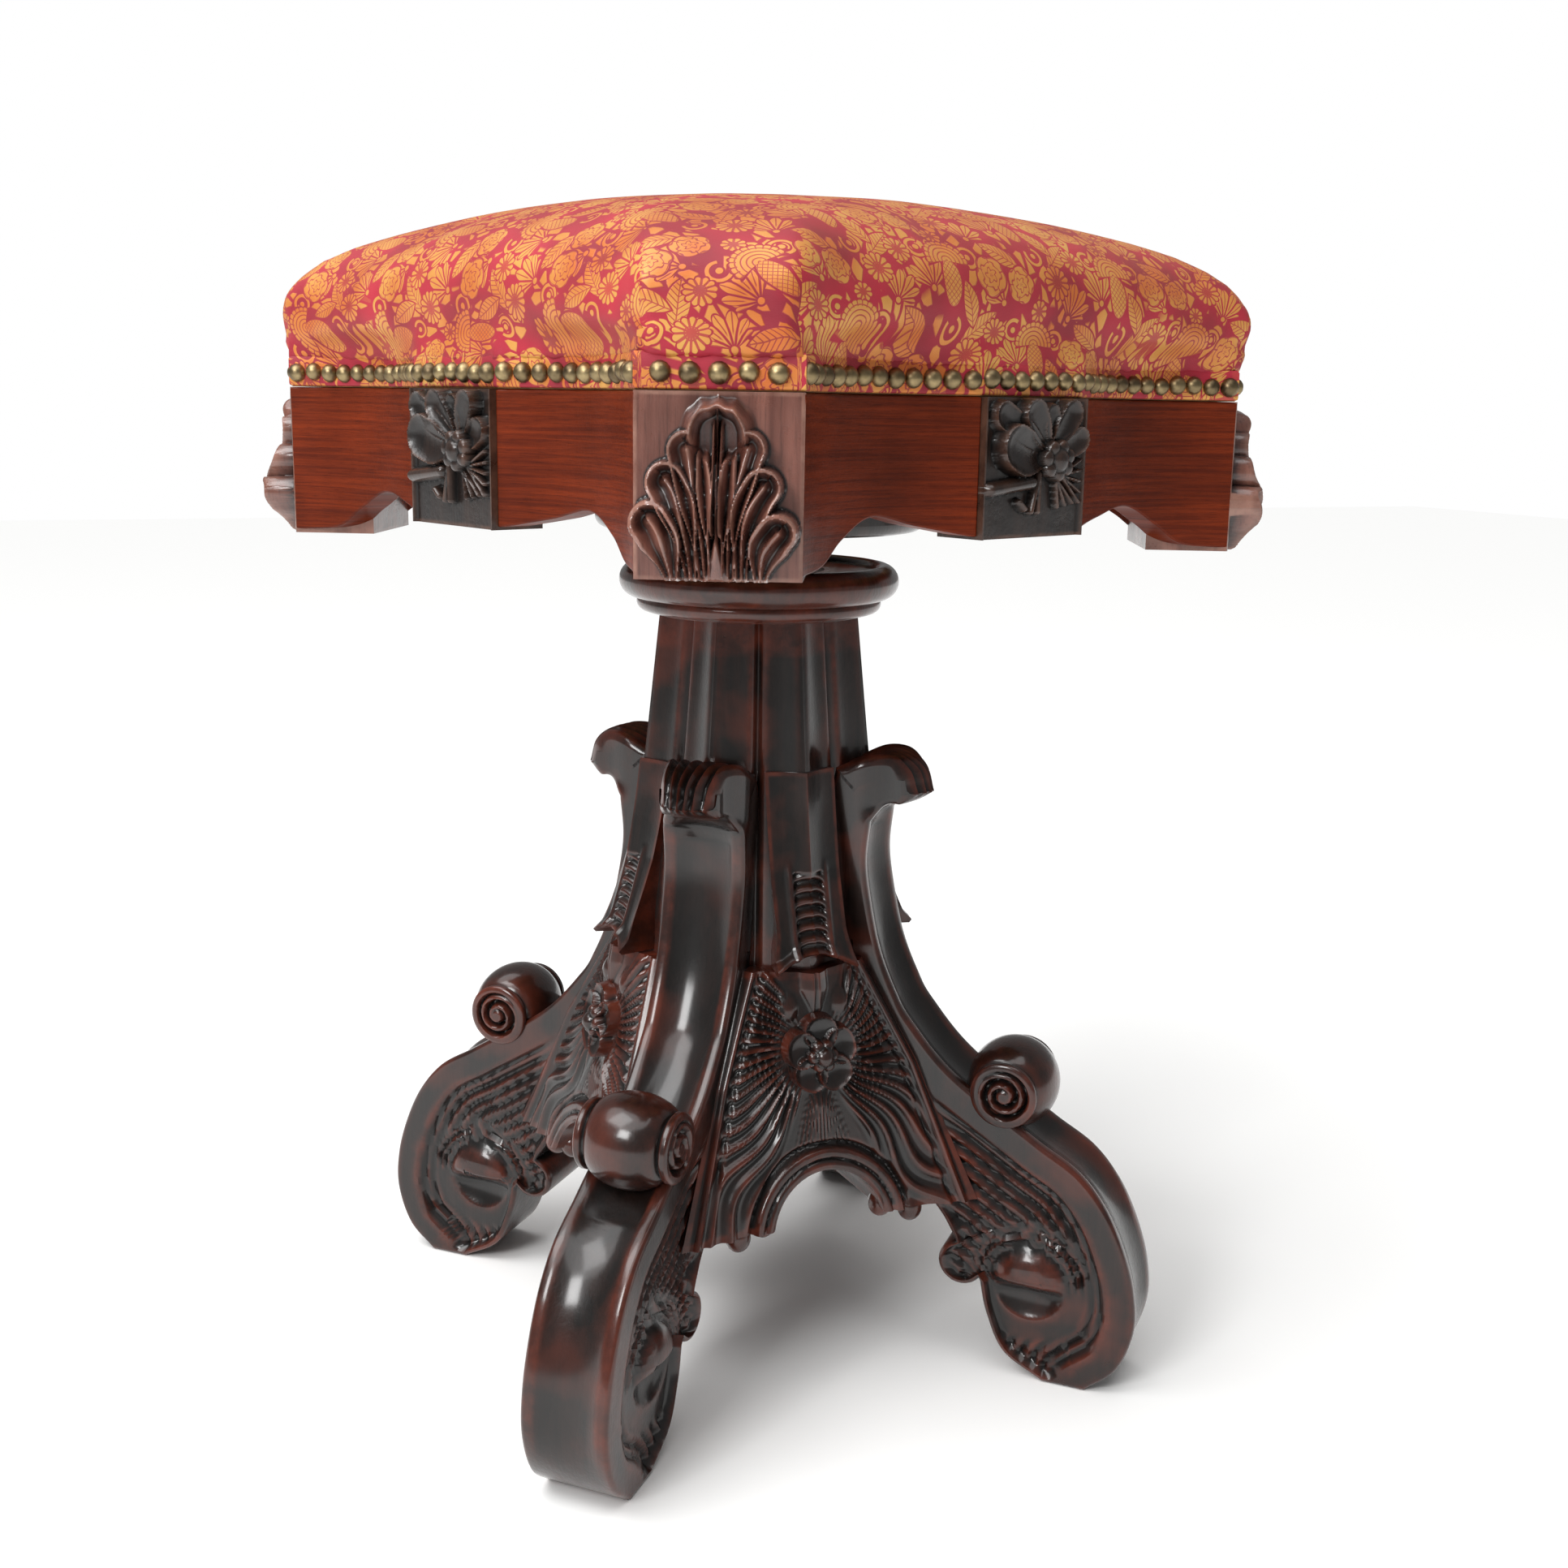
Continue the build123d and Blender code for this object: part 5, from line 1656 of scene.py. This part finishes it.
    def corner_blocks(self) -> None:
        """Corner blocks: the leaf's share times an envelope that swells near the foot and at the hood."""
        t = np.linspace(-self.corner_width / 2, self.corner_width / 2, 151)[None]
        rise = np.linspace(0, self.top - self.corner_bottom - 0.2, 161)[:, None]
        swell = curve(self.swell, 300)
        envelope = np.interp(rise, swell[:, 0], swell[:, 1]) + 0 * t
        side_fall = 1 - 0.35 * smooth(np.abs(t), 22, 29.5) * smooth(rise, 10, 30)
        height = envelope * side_fall * self.acanthus(t + 0 * rise, rise + 0 * t)
        height = height - 0.5 * smooth(np.abs(t), 28.6, 29.5)
        up = self.corner_bottom + rise
        for corner in Corner:
            angle = corner.value + SEAT_TURN
            front = place(self.corner_reach + height, t, up, angle)
            back = place(self.corner_reach - self.corner_depth, t, up + 0 * height, angle)
            name = corner.name.lower()
            shells, node = [slab(front, back)], f"corner_block_{name}"
            piece(f"acanthus_block_{name}", shells, WALNUT, Body.SEAT, (node,))

    def posy(self, t: Array, up: Array) -> Array:
        """Carving of a middle block: a wide cupped petal, a bud cluster, petals above, and rods that spread.

        Every part is a height over the ground and the highest wins: a petal is an oval with a raised rim, a bud
        is a cap, and a rod is a round ridge along a line.

        Args:
            t: sideways from the block's middle, to the left of outwards.
            up: height.

        Returns:
            Heights in millimetres.
        """
        t, up = np.broadcast_arrays(t, up)
        height = np.zeros(t.shape)
        for bend, tip, half, level in self.posy_petals:
            along, q = self.lobe(t, up, self.posy_heart, bend, tip, half)
            cup = level * (0.45 + 0.55 * along) * (0.42 + 0.58 * np.clip(np.abs(q), 0, 1) ** 2.5)
            height = np.maximum(height, cup * smooth(np.abs(q), 1.04, 0.90))
        rods = [((14.0, 420.0), (26.0, 426.0 - 4.2 * k), 0.9) for k in range(5)]
        rods += [((11.0, 419.0), (13.0 + 4.5 * k, 407.5 + 0.8 * k), 0.9) for k in range(3)]
        rods += [((1.0, 421.0), (-3.0 + 4.0 * k, 406.0), 1.3) for k in range(2)]
        rods += [((-27.0, 415.0), (-4.0, 417.5), 3.0), ((-10.0, 410.0), (-7.0, 407.5), 1.6)]
        for (x0, z0), (x1, z1), wide in rods:
            length = math.hypot(x1 - x0, z1 - z0)
            s = np.clip(((t - x0) * (x1 - x0) + (up - z0) * (z1 - z0)) / length**2, 0, 1)
            away = np.hypot(t - x0 - s * (x1 - x0), up - z0 - s * (z1 - z0)) / wide
            height = np.maximum(height, (2.4 + 0.9 * wide) * np.sqrt(np.clip(1 - away**2, 0, 1)))
        buds = [(9.5, 426.0, 4.6, 8.4)] + [
            (9.5 + 6.4 * math.cos(a), 426.0 + 5.2 * math.sin(a), 3.1, 6.8)
            for a in np.linspace(0.3, 0.3 + 2 * math.pi, 7, endpoint=False)
        ]
        for x, z, size, top in buds:
            cap = np.sqrt(np.clip(1 - ((t - x) ** 2 + (up - z) ** 2) / size**2, 0, 1))
            height = np.maximum(height, (top - 0.7 * size) * (cap > 0) + 0.7 * size * cap)
        frame = 1.6 * smooth(np.abs(t), 28.0, 29.2)
        return np.maximum(height, frame)

    def middle_blocks(self) -> None:
        """Middle blocks: a posy of petals, buds and rods on a dark ground."""
        t = np.linspace(-self.middle_width / 2, self.middle_width / 2, 131)[None]
        up = np.linspace(self.middle_bottom, self.top - 0.2, 119)[:, None]
        height = self.posy(t, up)
        for side in Side:
            angle = side.value + SEAT_TURN
            front = place(self.middle_reach + height, t, up, angle)
            back = place(self.middle_reach - self.middle_depth, t, up + 0 * height, angle)
            name = side.name.lower()
            shells, node = [slab(front, back)], f"middle_block_{name}"
            piece(f"posy_block_{name}", shells, EBONISED, Body.SEAT, (node,))

    def build(self) -> None:
        """Builds the aprons and the blocks."""
        self.aprons()
        self.corner_blocks()
        self.middle_blocks()


# ---------------------------------------------------------------- upholstery
@dataclass
class Upholstery:
    """The stuffed pad, the strip of its cover below the nails' line, and the row of brass nails."""

    frieze: Frieze
    rail_top: float = 462.0
    crown: float = 65.0
    inset: float = 2.5
    hem: float = 1.0
    lap: float = 2.2
    nail_radius: float = 3.9
    nail_height: float = 6.0
    pitch: float = 8.8
    corner_nails: int = 5
    corner_pitch: float = 10.1
    dip: float = 6.0
    cell: float = 5.0
    sink: float = 5.0
    shrink: float = 0.012
    frames: int = 20
    travel: float = 22.0
    stuffing: float = 0.35
    pulls: int = 144
    # (height over the rail, swell of a corner, swell of a side, share of the corner's width)
    levels: tuple = (
        (0.0, 0.0, 0.0, 1.0), (8.0, 4.5, 3.5, 1.0), (16.0, 8.0, 6.5, 1.0), (25.0, 8.6, 9.0, 1.0),
        (32.0, 4.4, 9.0, 1.0), (38.0, -2.4, 7.5, 0.98), (44.0, -13.2, 3.5, 0.94), (50.0, -31.2, -4.0, 0.84),
        (56.5, -61.2, -22.0, 0.66), (61.0, -96.0, -48.0, 0.46), (64.0, -134.0, -80.0, 0.28),
        (65.0, -166.0, -108.0, 0.16),
    )
    # (depth below the crown, length of cloth that hangs over the side down to there)
    hanging: tuple = (
        (0.0, 0.0), (8.5, 0.5), (15.0, 1.4), (21.0, 3.0), (27.0, 5.5), (33.0, 9.3), (40.0, 15.0), (49.0, 25.5),
        (57.0, 36.5), (65.0, 46.5), (77.0, 58.5),
    )

    def pad(self) -> Shell:
        """Pad before it is stuffed: a closed grid of levels over the seat's plan.

        At each level a side is out = middle + (corner - middle) (along / corner's along)^2, and a canted corner
        is straight. The lowest level follows the scooped frieze, and by 16 mm up it has given way to the plain
        sweep.

        Returns:
            The shell.
        """
        fine = curve(self.levels, 60)
        u = np.linspace(-1, 1, 49)[:-1]
        rings = []
        for rise, corner_swell, side_swell, share in fine:
            reach = self.frieze.corner_reach - self.inset + corner_swell
            half = (self.frieze.corner_width / 2 - self.inset) * share
            out_c, along_c = (reach + half) / math.sqrt(2), (reach - half) / math.sqrt(2)
            middle = self.frieze.middle_reach - self.inset - self.dip + side_swell
            plain = middle + (out_c - middle) * u**2
            nailed = self.nailed(u)
            low = float(smooth(rise, 16.0, 0.0))
            side = np.stack([plain * (1 - low) + nailed * low, along_c * u], -1)
            w = np.linspace(0, 1, 13)[:-1, None]
            cant = np.array([[out_c, along_c]]) * (1 - w) + np.array([[along_c, out_c]]) * w
            loop = np.vstack([side, cant])
            turns = [math.radians(SEAT_TURN + 90 * k) for k in range(4)]
            ring = np.vstack([
                np.stack([math.cos(a) * loop[:, 0] - math.sin(a) * loop[:, 1],
                          math.sin(a) * loop[:, 0] + math.cos(a) * loop[:, 1]], -1) for a in turns
            ])
            rings.append(np.hstack([ring, np.full((len(ring), 1), self.rail_top + rise)]))
        last = rings[-1]
        crown = [np.hstack([last[:, :2] * s, last[:, 2:] + 0.5 * (1 - s)]) for s in (0.66, 0.33, 0.0)]
        floor = [np.hstack([rings[0][:, :2] * s, rings[0][:, 2:]]) for s in (0.0, 0.3, 0.6, 0.8, 0.92)]
        return sheet(np.stack(floor + rings + crown), close_columns=True)

    def nailed(self, u: Array) -> Array:
        """Where the cover is nailed along a side: flat at the middle, a scoop each side of it.

        Args:
            u: share of the way along the side, from -1 to 1.

        Returns:
            Distances outwards.
        """
        (out_far, along_far), _, (out_near, along_near) = self.frieze.ends()
        along = np.abs(u) * along_far
        s = np.clip((along - along_near) / (along_far - along_near), 0, 1)
        return out_near + (out_far - out_near) * s - self.frieze.scoop * 4 * s * (1 - s)

    def cushion(self) -> None:
        """Cushion: the pad is shrunk, stuffed by a cloth simulation with its foot held, and then covered."""
        shell = self.pad()
        mesh = bpy.data.meshes.new("stuffed_cushion")
        mesh.from_pydata((shell.points * MM).tolist(), [], shell.quads.tolist())
        made = put("stuffed_cushion", mesh)
        close_up(mesh)
        self.remesh(made)
        self.stuff(made)
        self.subdivide(made)
        self.finish(made)
        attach(made, Body.SEAT.value)
        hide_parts("cushion")
        LOG.info("stuffed_cushion: %d faces", len(made.data.polygons))

    def apply(self, made: bpy.types.Object) -> None:
        """Turns an object's modifiers into its mesh.

        Args:
            made: the object.
        """
        graph = bpy.context.evaluated_depsgraph_get()
        done = bpy.data.meshes.new_from_object(made.evaluated_get(graph))
        made.modifiers.clear()
        old, made.data = made.data, done
        bpy.data.meshes.remove(old)
        done.name = made.name

    def remesh(self, made: bpy.types.Object) -> None:
        """Voxel remesh, so that the cloth has even cells.

        Args:
            made: the pad.
        """
        even = made.modifiers.new("even", "REMESH")
        even.mode = "VOXEL"
        even.voxel_size = self.cell * MM
        self.apply(made)

    def stuff(self, made: bpy.types.Object) -> None:
        """Cloth simulation: pressure swells the cover, the nailed foot is held, and the travel is capped.

        Args:
            made: the remeshed pad.
        """
        before = vectors(made.data, "co")
        start = before.copy()
        lift = smooth(before[:, 2], (self.rail_top + 2) * MM, (self.rail_top + 30) * MM)
        start[:, 2] -= self.sink * MM * lift
        start[:, :2] *= (1 - self.shrink * lift)[:, None]
        made.data.vertices.foreach_set("co", start.ravel())
        held = made.vertex_groups.new(name="nailed")
        held.add(np.flatnonzero(before[:, 2] < (self.rail_top + 2.5) * MM).tolist(), 1.0, "REPLACE")
        cloth = made.modifiers.new("stuffing", "CLOTH")
        cloth.settings.quality = 6
        cloth.settings.mass = 0.3
        cloth.settings.tension_stiffness = 25
        cloth.settings.compression_stiffness = 25
        cloth.settings.bending_stiffness = 3
        cloth.settings.use_pressure = True
        cloth.settings.uniform_pressure_force = 4
        cloth.settings.vertex_group_mass = "nailed"
        cloth.settings.effector_weights.gravity = 0
        scene = bpy.context.scene
        for step in range(1, self.frames + 1):
            scene.frame_set(step)
        self.apply(made)
        scene.frame_set(1)
        move = vectors(made.data, "co") - start
        far = np.linalg.norm(move, axis=1)
        cap = np.minimum(1.0, self.travel * MM / np.maximum(far, 1e-9))[:, None]
        settled = start + move * cap
        blended = before + self.stuffing * (settled - before)
        made.data.vertices.foreach_set("co", blended.ravel())

    def subdivide(self, made: bpy.types.Object) -> None:
        """One subdivision of the stuffed cover.

        Args:
            made: the cushion.
        """
        finer = made.modifiers.new("finer", "SUBSURF")
        finer.levels = finer.render_levels = 1
        self.apply(made)

    def wall(self, points: Array) -> Array:
        """Points near the foot of the cushion moved out, level, onto its wall.

        A side's wall is the nailed line at the foot and the plain sweep from 16 mm up; a corner's is flat. A
        point goes to whichever it stands before.

        Args:
            points: array (n, 3), millimetres.

        Returns:
            Array (n, 3).
        """
        rise = np.clip(points[:, 2] - self.rail_top, 0, None)
        levels = np.array(self.levels)
        corner_swell, side_swell = (np.interp(rise, levels[:, 0], levels[:, k]) for k in (1, 2))
        low = smooth(rise, 16.0, 0.0)
        reach = self.frieze.corner_reach - self.inset * (1 - low) + corner_swell
        half = self.frieze.corner_width / 2 - self.inset
        out_c, along_c = (reach + half) / math.sqrt(2), (reach - half) / math.sqrt(2)
        middle = self.frieze.middle_reach - self.inset - self.dip + side_swell
        moved = points.copy()
        for k in range(8):
            angle = SEAT_TURN + 45 * k
            local = place(points[:, 0], points[:, 1], points[:, 2], -angle)
            if k % 2:
                near = (np.abs(local[:, 1]) <= half) & (local[:, 0] > 0)
                target = reach
            else:
                u = np.clip(local[:, 1] / along_c, -1, 1)
                near = (np.abs(local[:, 1]) < along_c) & (local[:, 0] > 0)
                target = (middle + (out_c - middle) * u**2) * (1 - low) + self.nailed(u) * low
            local[:, 0] = target + 0.25 * low
            moved[near] = place(local[:, 0], local[:, 1], local[:, 2], angle)[near]
        return moved

    def finish(self, made: bpy.types.Object) -> None:
        """Straight foot, folds beside the corners, small pulls at the nails, the flat map and the material.

        Args:
            made: the cushion.
        """
        mesh = made.data
        points, normals = vectors(mesh, "co") / MM, vectors(mesh, "normal")
        rise = points[:, 2] - self.rail_top
        facing = (normals[:, :2] * points[:, :2]).sum(1) / np.linalg.norm(points[:, :2], axis=1).clip(1e-6)
        held = (smooth(rise, 13.0, 6.0) * smooth(facing, 0.12, 0.4))[:, None]
        points = points * (1 - held) + self.wall(points) * held
        points[:, 2] -= self.lap * smooth(rise, 5.0, 0.5) * smooth(facing, -0.3, 0.2)
        inwards = 0 * rise
        for corner in Corner:
            local = place(points[:, 0], points[:, 1], 0, -(corner.value + SEAT_TURN))
            for side in (-1, 1):
                fold = bump(local[:, 1], side * (25.5 + 0.12 * rise), 3.2) * (local[:, 0] > 150)
                inwards += 1.6 * fold * smooth(rise, 30.0, 2.0)
        turn = np.arctan2(points[:, 1], points[:, 0])
        pulls = 0.5 + 0.5 * np.cos(turn * self.pulls)
        inwards += 0.7 * pulls * smooth(rise, 7.0, 0.5)
        points -= normals * inwards[:, None]
        mesh.vertices.foreach_set("co", (points * MM).ravel())
        corners = np.zeros(len(mesh.loops), int)
        starts = np.zeros(len(mesh.polygons), int)
        sizes = np.zeros(len(mesh.polygons), int)
        mesh.loops.foreach_get("vertex_index", corners)
        mesh.polygons.foreach_get("loop_start", starts)
        mesh.polygons.foreach_get("loop_total", sizes)
        middles = np.add.reduceat(points[corners], starts) / sizes[:, None]
        flat = self.flat_map(points[corners], np.repeat(middles, sizes, axis=0))
        layer = mesh.uv_layers.new(name="flat")
        layer.data.foreach_set("uv", flat.astype(np.float32).ravel())
        mesh.polygons.foreach_set("use_smooth", np.ones(len(mesh.polygons), bool))
        mesh.materials.clear()
        mesh.materials.append(DAMASK.material())

    def flat_map(self, points: Array, middles: Array) -> Array:
        """Flat map of the cloth, metres: the plan, moved outwards by the length that hangs over the side.

        The cloth is pulled straight down over each side and over each canted corner, so its way down is along one
        of eight directions, and it is folded where two of them meet.

        Args:
            points: array (..., 3), millimetres.
            middles: array of the same shape, the middle of the face that each belongs to.

        Returns:
            Array (..., 2).
        """
        local = place(points[..., 0], points[..., 1], points[..., 2], -SEAT_TURN)
        middle = place(middles[..., 0], middles[..., 1], middles[..., 2], -SEAT_TURN)
        aside = np.abs(np.abs(middle[..., 0]) - np.abs(middle[..., 1])) / math.sqrt(2)
        canted = aside < self.frieze.corner_width / 2 - self.inset
        turn = np.arctan2(middle[..., 1], middle[..., 0]) / (math.pi / 2)
        turn = np.where(canted, np.floor(turn) + 0.5, np.round(turn)) * math.pi / 2
        hanging = np.interp(self.rail_top + self.crown - local[..., 2], *np.array(self.hanging).T)
        ahead = np.stack([np.cos(turn), np.sin(turn)], -1)
        return (local[..., :2] + hanging[..., None] * ahead) * MM

    def cover_strip(self) -> None:
        """Strip of cover under the nails: a thin band round the frieze's plan, tucked in at its hem."""
        outer = np.vstack([run[:-1] for run, _ in self.frieze.runs(0.0, 40)])
        inner = np.vstack([run[:-1] for run, _ in self.frieze.runs(1.2, 40)])
        low, high = self.frieze.top + self.hem - 0.6, self.rail_top + 1.0
        middle = (low + high) / 2
        bends = ((0.7, low), (0.15, low + 0.4), (0.0, low + 1.2), (0.0, middle), (0.1, high - 1), (0.8, high))
        rows = []
        for share, up in bends:
            rows.append(np.hstack([outer * (1 - share) + inner * share, np.full((len(outer), 1), up)]))
        for up in (high, middle, low):
            rows.append(np.hstack([inner, np.full((len(inner), 1), up)]))
        grid = np.stack(rows)
        shell = sheet(grid, close_rows=True, close_columns=True, flat=self.flat_map(grid, grid))
        piece("cover_strip", [shell], DAMASK, Body.SEAT, ("cover_band",))

    def nails(self) -> None:
        """Nails: low domes whose face is a half sphere pressed to 0.75 of its height, each a little different."""
        spots, facings = [], []
        for run, canted in self.frieze.runs(0.0, 400):
            way = np.concatenate([[0], np.cumsum(np.linalg.norm(np.diff(run, axis=0), axis=1))])
            count = self.corner_nails if canted else round(way[-1] / self.pitch)
            margin = (way[-1] - self.corner_nails * self.corner_pitch) / 2 if canted else 0.0
            at = margin + (way[-1] - 2 * margin) * (np.arange(count) + 0.5) / count
            ahead = np.gradient(run, axis=0)
            spots.append(np.stack([np.interp(at, way, run[:, k]) for k in (0, 1)], -1))
            facings.append(np.stack([np.interp(at, way, ahead[:, 1]), -np.interp(at, way, ahead[:, 0])], -1))
        spots, facings = np.vstack(spots), np.vstack(facings)
        facings /= np.linalg.norm(facings, axis=1)[:, None]
        seeded = np.random.default_rng(513)
        size = self.nail_radius * (1 + 0.03 * seeded.standard_normal(len(spots)))
        lift = 0.25 * seeded.standard_normal(len(spots))
        polar = np.array([1.0, 0.97, 0.82, 0.55, 0.28, 0.0])[:, None] * math.pi / 2
        turn = np.linspace(0, 2 * math.pi, 14, endpoint=False)[None]
        side, up = np.sin(polar) * np.cos(turn), np.sin(polar) * np.sin(turn)
        face = np.stack([side, up, 0.92 * np.cos(polar) + 0 * turn], -1)
        dome = np.vstack([0 * face[:1], face])
        shells = []
        for spot, face, radius, shift in zip(spots, facings, size, lift):
            across = np.array([-face[1], face[0]])
            x = spot[0] + radius * (dome[..., 0] * across[0] + dome[..., 2] * face[0]) + 0.1 * face[0]
            y = spot[1] + radius * (dome[..., 0] * across[1] + dome[..., 2] * face[1]) + 0.1 * face[1]
            z = self.frieze.top + self.nail_height + shift + radius * dome[..., 1]
            shells.append(sheet(np.stack([x, y, z], -1), close_columns=True))
        piece("brass_nails", shells, BRASS, Body.SEAT, ("dome_nails",))

    def build(self) -> None:
        """Builds the cushion, the strip of cover and the nails."""
        self.cushion()
        self.cover_strip()
        self.nails()


# ---------------------------------------------------------------- camera, light, floor
@dataclass
class Studio:
    """Pale floor, soft light, and the camera where the photograph was taken from."""

    position: tuple = (-315.1, -753.0, 446.2)
    turned: float = -22.71
    yaw: float = 0.920
    pitch: float = 12.293
    roll: float = 0.949
    lens: float = 40.12
    room: float = 0.26
    backdrop: float = 1.0
    sky: float = 2.45
    sky_spread: float = 70.0
    sky_tilt: float = -14.0
    # (name, place, size, power)
    lamps: tuple = (("key", (-1.5, -1.0, 1.3), 0.6, 20.0), ("overhead", (-0.95, -0.1, 1.6), 0.8, 9.0))

    def camera(self) -> None:
        """Camera whose axes follow from yaw, pitch and roll about the line of sight."""
        yaw, pitch, roll = (math.radians(a) for a in (self.yaw, self.pitch, self.roll))
        forward = np.array([math.sin(yaw) * math.cos(pitch), math.cos(yaw) * math.cos(pitch), -math.sin(pitch)])
        right = np.array([math.cos(yaw), -math.sin(yaw), 0.0])
        up = np.cross(right, forward)
        c, s = math.cos(roll), math.sin(roll)
        right, up = c * right + s * up, -s * right + c * up
        axes = Matrix(np.stack([right, up, -forward], 1).tolist()).to_4x4()
        seen = bpy.data.cameras.new("camera")
        seen.lens = self.lens
        seen.sensor_width = 36.0
        seen.clip_start = 0.01
        camera = put("camera", seen)
        place_at = Matrix.Translation([v * MM for v in self.position])
        camera.matrix_world = place_at @ (Matrix.Rotation(math.radians(self.turned), 4, "Z") @ axes)
        bpy.context.scene.camera = camera

    def lights(self) -> None:
        """Soft light: a wide ceiling, a large lamp high at the front left and one over the seat, in a pale room.

        The room lights the stool less than the white that stands behind it, as in a cut-out photograph.
        """
        scene = bpy.context.scene
        scene.view_settings.view_transform = "Standard"
        world = bpy.data.worlds.new("surround")
        scene.world = world
        world.use_nodes = True
        tree = world.node_tree
        seen = add(tree, "LightPath").outputs["Is Camera Ray"]
        strength = add(tree, "MapRange", {0: seen, 3: self.room, 4: self.backdrop})
        tree.links.new(strength.outputs[0], tree.nodes["Background"].inputs[1])
        tree.nodes["Background"].inputs[0].default_value = (1.0, 1.0, 1.0, 1.0)
        sun = bpy.data.lights.new("ceiling", "SUN")
        sun.energy = self.sky
        sun.angle = math.radians(self.sky_spread)
        ceiling = put("ceiling", sun)
        ceiling.rotation_euler = (0.0, math.radians(self.sky_tilt), 0.0)
        for name, spot, size, power in self.lamps:
            lamp = bpy.data.lights.new(name, "AREA")
            lamp.size = size
            lamp.energy = power
            made = put(name, lamp)
            made.rotation_euler = (Vector((0.0, 0.0, 0.3)) - Vector(spot)).to_track_quat("-Z", "Y").to_euler()
            made.location = spot

    def floor(self) -> None:
        """A plain pale floor under the stool."""
        mesh = bpy.data.meshes.new("floor")
        half = 6.0
        corners = [(-half, -half, 0.0), (half, -half, 0.0), (half, half, 0.0), (-half, half, 0.0)]
        mesh.from_pydata(corners, [], [(0, 1, 2, 3)])
        made = put("floor", mesh)
        material, _, shader = fresh("floor_pale", Roughness=0.8)
        shader.inputs["Base Color"].default_value = linear("#FEFEFD")
        mesh.materials.append(material)


def main() -> None:
    """Builds the stool piece by piece, then the studio."""
    logging.basicConfig(level=logging.INFO, format="%(message)s")
    dress(tuple(frame["nodes"]), ROSEWOOD)
    dress(("spindle", "spindle_flange", "nut"), IRON)
    dress(("nut_screws", "flange_screws"), STEEL)
    dress(("washer",), HIDE)
    dress(("seat_board", "tack_rail", "bearer_long", "bearer_cross"), FRAME_TIMBER)
    pillar = Pillar()
    pillar.shaft()
    pillar.capital()
    for corner in Corner:
        Leg(corner).build()
        KneeScroll(corner).build()
    for side in Side:
        Panel(side).build()
    frieze = Frieze()
    frieze.build()
    Upholstery(frieze).build()
    studio = Studio()
    studio.camera()
    studio.lights()
    studio.floor()


if __name__ == "__main__":
    main()
